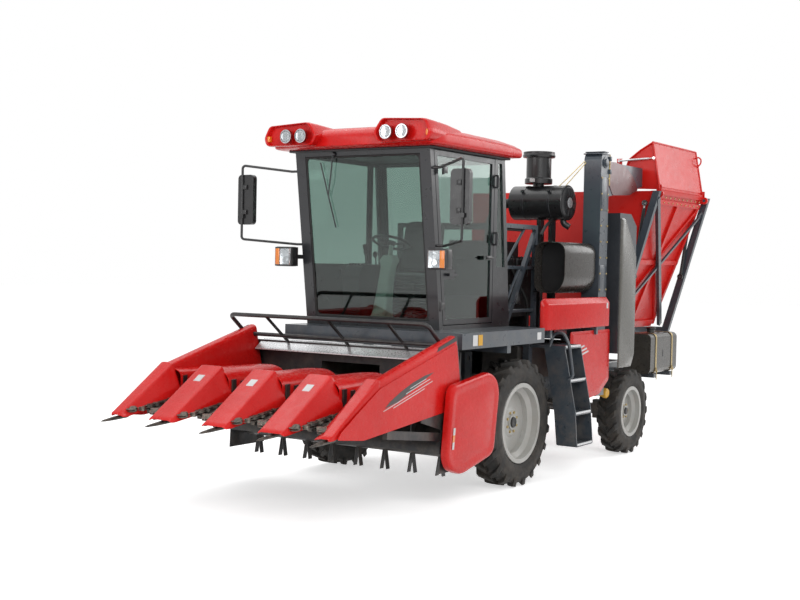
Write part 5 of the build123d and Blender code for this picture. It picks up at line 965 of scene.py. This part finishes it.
for axle, side_name in WHEELS:
    side = 1 if side_name == "left" else -1
    axle_x, radius, width, bead, count, tall, bolt_circle, bolts = TYRES[axle]
    rubber = bmesh.new()
    profile = [(edge_share, bead + (radius - tall - bead) * rise) for edge_share, rise in CARCASS_SHARES]
    whole = profile + [(-across, level) for across, level in profile[-2::-1]]
    inner = [(across * 0.86, level - 0.014) for across, level in whole]
    loop = whole + inner[::-1]
    sections = [[wheel_point(axle_x, radius, level, turn, side * HALF_TRACK + across * width / 2)
                 for across, level in loop] for turn in full_turn(TYRE_STEPS)]
    skin_over(rubber, sections, looped=True)
    for k in range(count):
        add_lug(rubber, axle, side, 2 * math.pi * k / count, 1)
        add_lug(rubber, axle, side, 2 * math.pi * (k + 0.5) / count, -1)
    new_piece(f"tread_{axle}_{side_name}", rubber, tyre_rubber, f"wheel_{axle}_{side_name}",
              replaced=(f"tyre_{axle}_{side_name}",), sharp=38)
    fixings = bmesh.new()
    for k in range(bolts):
        turn = 2 * math.pi * (k + 0.5) / bolts
        for start, end, size, sides in ((1.008, 1.0125, 0.015, 16), (1.012, 1.021, 0.0115, 6)):
            near = wheel_point(axle_x, radius, bolt_circle, turn, side * start)
            far = wheel_point(axle_x, radius, bolt_circle, turn, side * end)
            turned(fixings, near, far, [(0, size), (0.85, size), (1, size * 0.88)], sides)
    new_piece(f"hub_bolts_{axle}_{side_name}", fixings, zinc_yellow, f"wheel_{axle}_{side_name}")
    trims = bmesh.new()
    hub = 0.052 if axle == "front" else 0.04
    turned(trims, (axle_x, side * 1.022, radius), (axle_x, side * 1.04, radius),
           [(0, hub), (0.2, hub), (0.75, hub * 0.92), (1, hub * 0.7)])
    stem = [wheel_point(axle_x, radius, bead - drop, VALVE_TURN, side * y)
            for drop, y in ((0.07, 1.035), (0.078, 1.062))]
    turned(trims, *stem, [(0, 0.007), (0.6, 0.007), (0.62, 0.009), (1, 0.008)], steps=12)
    new_piece(f"hub_cap_{axle}_{side_name}", trims, cleaner_black, f"wheel_{axle}_{side_name}")


# Engine bay: air cleaner trims, arched side cowl, engine fittings and hoses.
# The cleaner's drum has two clamp bands, a ribbed end cap with a pale centre and a wide domed cap on its
# pre-cleaner. The cowl is one rolled brown-grey sheet with an arched top, open at the front.
iron_black = enamel("iron_black", (0.012, 0.012, 0.013), gloss=0.5, dust=0.2, coat=0.0)
paint_nodes(iron_black, "engine_block")
paint_nodes(cleaner_black, "air_cleaner")
CLEANER_X, CLEANER_Z, PRE_Y = -1.045, 2.78, 0.39
fittings, bands, pale_caps = bmesh.new(), bmesh.new(), bmesh.new()


def drum_ring(mesh, low_y, high_y, profile, steps=56):
    """A turned ring on the axis of the cleaner's drum."""
    turned(mesh, (CLEANER_X, low_y, CLEANER_Z), (CLEANER_X, high_y, CLEANER_Z), profile, steps)


for y in (0.27, 0.585):
    drum_ring(bands, y, y + 0.024, [(0, 0.186), (0.1, 0.1885), (0.9, 0.1885), (1, 0.186)])
    soft_box(bands, (CLEANER_X + 0.15, y - 0.002, CLEANER_Z + 0.105),
             (CLEANER_X + 0.185, y + 0.026, CLEANER_Z + 0.135), 0.004)
drum_ring(fittings, 0.735, 0.772,
          [(0, 0.188), (0.35, 0.19), (0.5, 0.186), (0.55, 0.172), (0.9, 0.16), (1.0, 0.15), (1.0, 0.066),
           (0.85, 0.062)])
for turn in full_turn(10):
    inner_end, outer_end = [(CLEANER_X + reach * math.cos(turn), 0.771, CLEANER_Z + reach * math.sin(turn))
                            for reach in (0.074, 0.15)]
    turned(fittings, inner_end, outer_end, [(0, 0.005), (0.1, 0.007), (0.9, 0.007), (1, 0.005)], 8)
drum_ring(pale_caps, 0.768, 0.778, [(0, 0.056), (0.6, 0.056), (0.9, 0.048), (1, 0.03)], 28)
turned(fittings, (CLEANER_X, PRE_Y, 3.27), (CLEANER_X, PRE_Y, 3.338),
       [(0, 0.14), (0.02, 0.172), (0.3, 0.178), (0.55, 0.17), (0.62, 0.15), (0.95, 0.12), (1, 0.06)], 56)
turned(fittings, (CLEANER_X, PRE_Y, 2.985), (CLEANER_X, PRE_Y, 3.05),
       [(0, 0.142), (0.1, 0.15), (0.8, 0.15), (1, 0.138)], 56)
add_plate(pale_caps, rounded(oblong((PRE_Y - 0.03, 3.0), (PRE_Y + 0.03, 3.038)), 0.006), "x",
          CLEANER_X + 0.148, CLEANER_X + 0.1525)
tube(fittings, [(CLEANER_X, 0.69, 2.64), (CLEANER_X, 0.7, 2.555), (CLEANER_X - 0.02, 0.76, 2.52)], 0.034,
     sides=16)
for x, z in ((-0.3, 1.7), (-0.44, 1.69)):
    turned(fittings, (x, 0.47, z), (x, 0.47, z + 0.2),
           [(0, 0.04), (0.04, 0.052), (0.85, 0.052), (0.9, 0.046), (1, 0.044)], 24)
CYLINDER_PITCH = 0.205
for k in range(4):
    x = -0.78 + k * CYLINDER_PITCH
    soft_box(fittings, (x - 0.08, 0.405, 2.06), (x + 0.08, 0.445, 2.17), 0.012, 3)
    tube(fittings, [(x, 0.4, 2.14), (x, 0.455, 2.2), (-0.7 + k * 0.15, 0.455, 1.98)], 0.006, bend=0.02)
turned(fittings, (0.05, 0.3, 1.72), (0.085, 0.3, 1.72),
       [(0, 0.1), (0.2, 0.104), (0.3, 0.09), (0.7, 0.09), (0.8, 0.104), (1, 0.1)], 40)
new_piece("engine_fittings", fittings, cleaner_black, "chassis")
new_piece("cleaner_bands", bands, cab_black, "chassis")
new_piece("pale_caps", pale_caps, galvanised, "chassis")

hoses = bmesh.new()
HOSES = [
    # points along a hose, its radius
    ([(CLEANER_X, 0.125, 2.78), (CLEANER_X, -0.03, 2.78), (-0.8, -0.06, 2.6), (-0.62, 0.02, 2.33)], 0.052),
    ([(-0.53, 0.56, 1.4), (-0.53, 0.56, 1.72), (-0.42, 0.48, 1.95), (-0.3, 0.4, 2.22)], 0.017),
    ([(0.06, 0.6, 1.4), (0.04, 0.585, 1.8), (-0.06, 0.5, 2.05), (-0.16, 0.4, 2.28)], 0.015),
    ([(0.175, 0.56, 1.39), (0.17, 0.56, 2.2), (0.12, 0.6, 2.46), (-0.3, 0.6, 2.46)], 0.013),
    ([(-0.12, 0.44, 1.39), (-0.12, 0.5, 1.56), (-0.22, 0.5, 1.62), (-0.3, 0.48, 1.7)], 0.02),
    ([(-0.6, 0.66, 2.42), (-0.7, 0.66, 2.52), (-0.9, 0.6, 2.56), (-1.0, 0.6, 2.62)], 0.016),
]
for points_along, radius in HOSES:
    tube(hoses, points_along, radius, bend=0.09)
new_piece("engine_hoses", hoses, rubber_black, "chassis")

braces = bmesh.new()
for z in (1.62, 2.06):
    soft_box(braces, (-0.545, 0.602, z), (0.125, 0.632, z + 0.035), 0.005)
for low_z, back_x, high_z in ((1.64, -0.2, 2.06), (2.08, -0.3, 2.47)):
    tube(braces, [(0.12, 0.618, low_z), (back_x, 0.618, high_z)], 0.014, sides=8)
new_piece("bay_braces", braces, slate_enamel, "chassis")

cowl_brown = enamel("cowl_brown", (0.034, 0.03, 0.026), gloss=0.26, dust=0.06, coat=0.2)
COWL_X = (-1.115, -0.385)
COWL_OUTLINE = [(0.702, 1.822), (0.965, 1.822), (1.05, 1.95), (1.05, 2.35), (0.702, 2.35)]
cowl = bmesh.new()
outer_loop = rounded(COWL_OUTLINE, 0.13, steps=9)
COWL_MIDDLE = (0.876, 2.086)
inner_loop = shrunk(outer_loop, COWL_MIDDLE, 0.955, 0.97)
loft(cowl, "x", [(COWL_X[0], outer_loop), (COWL_X[1] - 0.004, outer_loop),
                 (COWL_X[1], shrunk(outer_loop, COWL_MIDDLE, 0.99, 0.993)),
                 (COWL_X[1], inner_loop), (COWL_X[1] - 0.16, inner_loop)])
new_piece("cowl_sheet", cowl, cowl_brown, "chassis", replaced=("side_cowl",))
cowl_stand = bmesh.new()
soft_box(cowl_stand, (-1.014, 0.596, 1.386), (-0.976, 0.64, 2.338), 0.004)
for x in (-1.015, -0.525):
    for z in (1.826, 2.3):
        soft_box(cowl_stand, (x, 0.642, z), (x + 0.038, 0.72, z + 0.016), 0.003)
add_plate(cowl_stand, shrunk(outer_loop, COWL_MIDDLE, 0.93, 0.95), "x", -0.548, -0.535)
new_piece("cowl_stand", cowl_stand, iron_black, "chassis")


# Side covers, elevator, cabinet, tank, bin and hood.
# Folded sheet with pressed borders, rows of bolts and blank striping; the tank hangs in two yellow zinc
# straps; the bin's leaning wall has welded ribs and diagonals, and the hood a rolled rim, a bolted hinge
# strip and a hook.
bin_red = enamel("bin_red", (0.6, 0.013, 0.009), gloss=0.3, dust=0.06, coat=0.08, shine=0.22)
paint_nodes(bin_red, "bin_body", "bin_hood")
covers, cover_brackets = bmesh.new(), bmesh.new()
upper_sections = []
for x, inset in ((-1.295, 0.0), (0.15, 0.0), (0.19, 0.024), (0.205, 0.05)):
    corners = [(1.081, 1.462 + inset * 0.5), (1.145 - inset, 1.47 + inset * 0.5),
               (1.145 - inset, 1.722 - inset * 0.6), (1.106 - inset * 0.4, 1.78 - inset * 0.8), (1.081,
        1.78 - inset * 0.8)]
    upper_sections.append((x, rounded(corners, 0.01, steps=3)))
loft(covers, "x", upper_sections)
COVER_OUTLINE = [(-0.47, 1.43), (-1.445, 1.43), (-1.445, 0.88), (-1.205, 0.74), (-0.765, 0.7), (-0.47, 0.88)]
cover_loop = rounded(COVER_OUTLINE, 0.03)
COVER_MIDDLE = (-0.955, 1.1)


def drawn_in(loop, middle, inset):
    """An outline moved towards its middle by a distance."""
    moved = []
    for first, second in loop:
        away = Vector((first - middle[0], second - middle[1]))
        moved.append((middle[0] + away.x * (1 - inset / away.length),
                      middle[1] + away.y * (1 - inset / away.length)))
    return moved


for side in (-1, 1):
    layers = ((1.085, 0.0), (1.0905, 0.0), (1.092, 0.004), (1.092, 0.045), (1.097, 0.055), (1.097, 0.07))
    loft(covers, "y", [(side * y, drawn_in(cover_loop, COVER_MIDDLE, inset)) for y, inset in layers])
new_piece("cover_sheets", covers, red_enamel, "chassis", replaced=("side_covers",))
COVER_BRACKETS = [
    # x, low y, high y, low z, high z
    (-1.075, 0.775, 1.12, 1.386, 1.48), (0.008, 0.775, 1.12, 1.386, 1.48), (-0.893, 0.795, 1.086, 1.312,
        1.358),
    (-1.408, 0.795, 1.086, 1.312, 1.358), (-0.893, -1.086, -0.795, 1.312, 1.358),
    (-1.393, -1.086, -0.795, 1.312, 1.358),
]
for x, low_y, high_y, low_z, high_z in COVER_BRACKETS:
    soft_box(cover_brackets, (x, low_y, low_z), (x + 0.046, high_y, high_z), 0.003)
new_piece("cover_brackets", cover_brackets, slate_enamel, "chassis")

stripes = bmesh.new()
for near, far, low in ((-0.62, -0.8, 1.235), (-0.66, -0.86, 1.205), (-0.72, -0.9, 1.175)):
    add_plate(stripes, [(near, low), (far, low + 0.035), (far + 0.012, low + 0.052),
                        (near + 0.012, low + 0.014)], "y", 1.096, 1.0985)
add_plate(stripes, rounded(oblong((-1.262, 1.66), (-1.222, 1.72)), 0.004), "y", 1.144, 1.1465)
new_piece("cover_stripes", stripes, plate_white, "chassis")

elevator_plates, zinc_fixings = bmesh.new(), bmesh.new()
for low, high in (((-1.352, 0.872, 3.3), (-1.138, 1.088, 3.312)),
                  ((-1.3, 0.868, 3.322), (-1.19, 1.092, 3.334)), ((-1.33, 1.079, 2.7),
        (-1.16, 1.086, 3.06)), ((-1.33, 1.079, 1.83), (-1.16, 1.086, 2.12))):
    soft_box(elevator_plates, low, high, 0.003)
for z in (3.1, 3.24):
    soft_box(elevator_plates, (-1.375, 1.04, z), (-1.335, 1.1, z + 0.05), 0.006)
turned(elevator_plates, (-1.245, 1.078, 3.215), (-1.245, 1.108, 3.215),
       [(0, 0.06), (0.3, 0.06), (0.4, 0.044), (0.9, 0.042), (1, 0.03)])
tube(zinc_fixings, [(-1.356, 1.082, 2.98), (-1.356, 1.082, 3.31)], 0.007, sides=10)
BOLT_PITCH = 0.17
for z in [1.86 + BOLT_PITCH * k for k in range(8)]:
    for x in (-1.325, -1.165):
        turned(zinc_fixings, (x, 1.08, z), (x, 1.0905, z), [(0, 0.01), (0.8, 0.01), (1, 0.008)], 6)
for start, end in (((-1.15, 0.885, 3.23), (-0.985, 0.64, 2.93)), ((-1.15, 0.9, 3.215), (-1.01, 0.69, 2.915))):
    tube(zinc_fixings, [start, end], 0.005, sides=8)
new_piece("elevator_fittings", elevator_plates, slate_enamel, "chassis")

# The spout guard's dark maroon is the machine's red darkened as painted shade on the guard.
guard_red_painted_shade = enamel("guard_red_painted_shade", (0.085, 0.008, 0.01), gloss=0.3, dust=0.1, coat=0.3)
guard = bmesh.new()
GUARD_OUTLINE = [(-1.352, 2.975), (-1.352, 3.235), (-1.52, 3.238), (-1.68, 3.226), (-1.83, 3.19),
                 (-1.96, 3.13), (-2.07, 3.05), (-2.13, 2.975), (-1.9, 2.905), (-1.45, 2.878)]
add_plate(guard, rounded(GUARD_OUTLINE, 0.02, steps=3), "y", 1.081, 1.086)
new_piece("spout_guard", guard, guard_red_painted_shade, "chassis")

panel_grey = enamel("panel_grey", (0.085, 0.082, 0.07), gloss=0.24, dust=0.06, coat=0.2)
cabinet_black = enamel("cabinet_black", (0.03, 0.034, 0.04), gloss=0.34, dust=0.15, coat=0.2)
paint_nodes(cabinet_black, "side_cabinet")
PANEL_OUTLINE = [(-1.535, 1.0), (-1.535, 2.64), (-1.64, 2.64), (-1.958, 2.24), (-1.958, 1.13), (-1.88, 1.0)]
panel = bmesh.new()
panel_loop = rounded(PANEL_OUTLINE, 0.014, steps=3)
loft(panel, "y", [(y, drawn_in(panel_loop, (-1.745, 1.85), inset))
                  for y, inset in ((1.149, 0.0), (1.16, 0.004), (1.166, 0.018))])
new_piece("cabinet_panel", panel, panel_grey, "chassis")

tank_brown = enamel("tank_brown", (0.04, 0.037, 0.032), gloss=0.26, dust=0.12, coat=0.2)
paint_nodes(tank_brown, "fuel_tank")
straps, tank_caps = bmesh.new(), bmesh.new()
strap_loop = rounded(oblong((0.804, 0.868), (1.151, 1.341)), 0.065, steps=7)
STRAP_WIDTH = 0.038
for x in (-2.672, -3.172):
    middle_x = x + STRAP_WIDTH / 2
    add_plate(straps, strap_loop, "x", x, x + STRAP_WIDTH)
    turned(straps, (middle_x, 1.152, 0.9), (middle_x, 1.172, 0.9), [(0, 0.012), (0.8, 0.012), (1, 0.009)], 6)
    tube(straps, [(middle_x, 1.158, 0.94), (middle_x, 1.158, 0.8)], 0.006, sides=8)
new_piece("tank_straps", straps, zinc_yellow, "chassis")
TANK_CAP_X = -2.895
turned(tank_caps, (TANK_CAP_X, 0.98, 1.37), (TANK_CAP_X, 0.98, 1.4),
       [(0, 0.056), (0.2, 0.06), (0.8, 0.06), (1, 0.05)])
add_plate(tank_caps, rounded(oblong((TANK_CAP_X, 1.06), (TANK_CAP_X + 0.03, 1.14)), 0.004), "y", 1.1445,
          1.1475)
new_piece("tank_cap", tank_caps, cleaner_black, "chassis")

mustard = enamel("mustard", (0.62, 0.33, 0.015), gloss=0.42, dust=0.2, coat=0.0)
cup = bmesh.new()
turned(cup, (-1.49, 0.96, 0.73), (-1.49, 1.065, 0.722),
       [(0, 0.03), (0.1, 0.044), (0.55, 0.046), (0.6, 0.054), (0.9, 0.054), (1, 0.044)])
new_piece("coupling_cap", cup, mustard, "chassis")
link = bmesh.new()
tube(link, [(-1.56, 1.0, 0.945), (-1.56, 0.985, 0.8), (-1.5, 0.965, 0.735)], 0.014, sides=10)
new_piece("coupling_pipe", link, iron_black, "chassis")

WALL_FOOT, WALL_HEAD = Vector((0.0, 0.63, 1.37)), Vector((0.0, 1.25, 2.98))
wall_up = (WALL_HEAD - WALL_FOOT).normalized()
wall_out = Vector((0.0, wall_up.z, -wall_up.y))


def on_wall(x, share, out):
    """A point on the bin's leaning wall: along the machine, a share of the way up, a distance outward."""
    return Vector((x, 0, 0)) + WALL_FOOT + (WALL_HEAD - WALL_FOOT) * share + wall_out * out


def beam(mesh, start, end, across, width, depth):
    """A square-cut bar between two points; its width lies along one direction."""
    along = (end - start).normalized()
    third = along.cross(across).normalized()
    across = third.cross(along)
    skin_over(mesh, [[point + across * a * width / 2 + third * b * depth / 2 for a, b in clipped(0.9, 0.8)]
                     for point in (start, end)])


bin_bars = bmesh.new()
for x_low, x_high, share_low, share_high in ((-3.72, -3.08, 0.07, 0.47), (-2.38, -3.02, 0.07, 0.47),
        (-3.08, -3.72, 0.53, 0.9)):
    beam(bin_bars, on_wall(x_low, share_low, 0.012), on_wall(x_high, share_high, 0.012), wall_out, 0.022,
         0.045)
beam(bin_bars, on_wall(-3.785, 0.995, 0.01), on_wall(-2.305, 0.995, 0.01), wall_out, 0.024, 0.05)
new_piece("bin_bars", bin_bars, bin_red, "bin")
hinge_bolts = bmesh.new()
HINGE_PITCH = 0.137
for k in range(10):
    x = -3.66 + HINGE_PITCH * k
    middle = on_wall(x, 0.965, 0.022)
    turned(hinge_bolts, middle, middle + wall_out * 0.01, [(0, 0.011), (0.8, 0.011), (1, 0.008)], 6)
    turned(hinge_bolts, on_wall(x, 0.93, 0.028), on_wall(x, 0.93, 0.036), [(0, 0.009), (1, 0.007)], 6)
new_piece("hinge_bolts", hinge_bolts, zinc_yellow, "bin")
new_piece("zinc_fixings", zinc_fixings, zinc_yellow, "chassis")

hood_rim = bmesh.new()
HOOD_FOOT, HOOD_HEAD = (1.264, 2.998), (1.167, 3.532)
HOOD_ARC = [HOOD_HEAD, (1.01, 3.44), (0.88, 3.34), (0.838, 3.215), (0.872, 3.012)]
HOOD_X = (-3.728, -2.339)
for y, z in (HOOD_FOOT, HOOD_HEAD):
    tube(hood_rim, [(HOOD_X[0], y, z), (HOOD_X[1], y, z)], 0.011, sides=10)
for x in HOOD_X:
    tube(hood_rim, [(x, *HOOD_FOOT), (x, *HOOD_HEAD)], 0.011, sides=10)
    for (from_y, from_z), (to_y, to_z) in zip(HOOD_ARC, HOOD_ARC[1:]):
        tube(hood_rim, [(x, from_y, from_z), (x, to_y, to_z)], 0.008, sides=8)
HOOK_X = -3.7
HOOK = [(1.206, 3.35), (1.245, 3.39), (1.25, 3.44), (1.215, 3.47), (1.182, 3.455)]
tube(hood_rim, [(HOOK_X, y, z) for y, z in HOOK], 0.009, bend=0.02, sides=10)
new_piece("hood_rim", hood_rim, bin_red, "hood")
paint_nodes(galvanised, "strut_barrel")


# Access ladder, deck plates and drive shield.
# The ladder has broad folded cheeks and boxed treads with worn bright lips, and a short bent grab rail. The
# shield is a dished red moulding with rounded corners and a blank two-tone reflector strip.
CHEEK_OUTLINE = [(0.985, 1.312), (1.215, 1.312), (1.345, 0.68), (1.374, 0.322), (1.15, 0.322), (1.115, 0.66)]
ladder = bmesh.new()
LADDER_X = (-0.085, -0.445)
for x in LADDER_X:
    add_plate(ladder, rounded(CHEEK_OUTLINE, 0.012, steps=3), "x", x - 0.006, x + 0.006)
TREADS = [(0.33, 1.155, 1.372), (0.64, 1.122, 1.35), (0.96, 1.06, 1.285)]
for z, low_y, high_y in TREADS:
    soft_box(ladder, (-0.44, low_y, z - 0.012), (-0.09, high_y, z + 0.02), 0.004)
soft_box(ladder, (-0.45, 0.832, 1.28), (-0.08, 1.224, 1.304), 0.004)
GRAB_RAIL = [(1.05, 1.3), (1.09, 1.43), (1.19, 1.45), (1.262, 1.33), (1.31, 1.02), (1.262, 0.985)]
tube(ladder, [(LADDER_X[0], y, z) for y, z in GRAB_RAIL], 0.016, bend=0.07, sides=14)
new_piece("ladder_sheets", ladder, slate_enamel, "chassis", replaced=("access_ladder",))
lips = bmesh.new()
for z, low_y, high_y in TREADS + [(1.292, 0.9, 1.224)]:
    soft_box(lips, (-0.436, high_y - 0.016, z + 0.002), (-0.094, high_y + 0.0015, z + 0.0225), 0.003)
new_piece("tread_lips", lips, galvanised, "chassis")

DECK_FACE_Y = 1.16
deck_plates, deck_yellow = bmesh.new(), bmesh.new()
for mesh, low, high in ((deck_plates, (1.56, 1.385), (1.64, 1.48)),
                        (deck_plates, (0.33, 1.392), (0.41, 1.462)), (deck_yellow, (1.47, 1.385),
        (1.545, 1.48))):
    add_plate(mesh, rounded(oblong(low, high), 0.006), "y", DECK_FACE_Y - 0.0005, DECK_FACE_Y + 0.0025)
new_piece("deck_plates", deck_plates, plate_white, "chassis")
new_piece("deck_yellow_plate", deck_yellow, mustard, "chassis")

SHIELD_OUTLINE = [(2.135, 1.07), (1.475, 1.157), (1.345, 1.08), (1.305, 0.97), (1.385, 0.42), (1.955, 0.3),
                  (2.145, 0.37), (2.205, 0.475)]
SHIELD_MIDDLE = (1.76, 0.73)
shield_loop = rounded(SHIELD_OUTLINE, 0.09, steps=7)
shield = bmesh.new()
SHIELD_LAYERS = [
    # y, distance drawn in
    (1.198, 0.01), (1.197, 0.0), (1.235, 0.0), (1.25, 0.006), (1.259, 0.02), (1.261, 0.045), (1.255, 0.085),
    (1.255, 0.11), (1.2605, 0.16),
]
loft(shield, "y", [(y, drawn_in(shield_loop, SHIELD_MIDDLE, inset)) for y, inset in SHIELD_LAYERS])
new_piece("shield_moulding", shield, red_enamel, "header", replaced=("drive_shield",))
stays = bmesh.new()
for low, high in (((2.046, 1.16, 1.01), (2.104, 1.205, 1.018)), ((2.046, 1.16, 0.9), (2.104, 1.205, 0.908)),
                  ((1.906, 1.16, 0.62), (1.949, 1.205, 0.63))):
    soft_box(stays, low, high, 0.002, 1)
new_piece("shield_stays", stays, header_black, "header")
STRIP_FOOT = (2.133, 0.475)
STRIP_LEAN, STRIP_WIDTH = 0.112, 0.03
white_strip, orange_strip = bmesh.new(), bmesh.new()
for mesh, low, high in ((white_strip, 0.54, 0.6), (orange_strip, 0.6, 0.66), (white_strip, 0.66, 0.72)):
    x_low, x_high = (STRIP_FOOT[0] - (z - STRIP_FOOT[1]) * STRIP_LEAN for z in (low, high))
    add_plate(mesh, [(x_low, low), (x_low - STRIP_WIDTH, low), (x_high - STRIP_WIDTH, high),
                     (x_high, high)], "y", 1.2595, 1.2625)
new_piece("shield_strip_white", white_strip, plate_white, "header")
new_piece("shield_strip_orange", orange_strip, amber, "header")
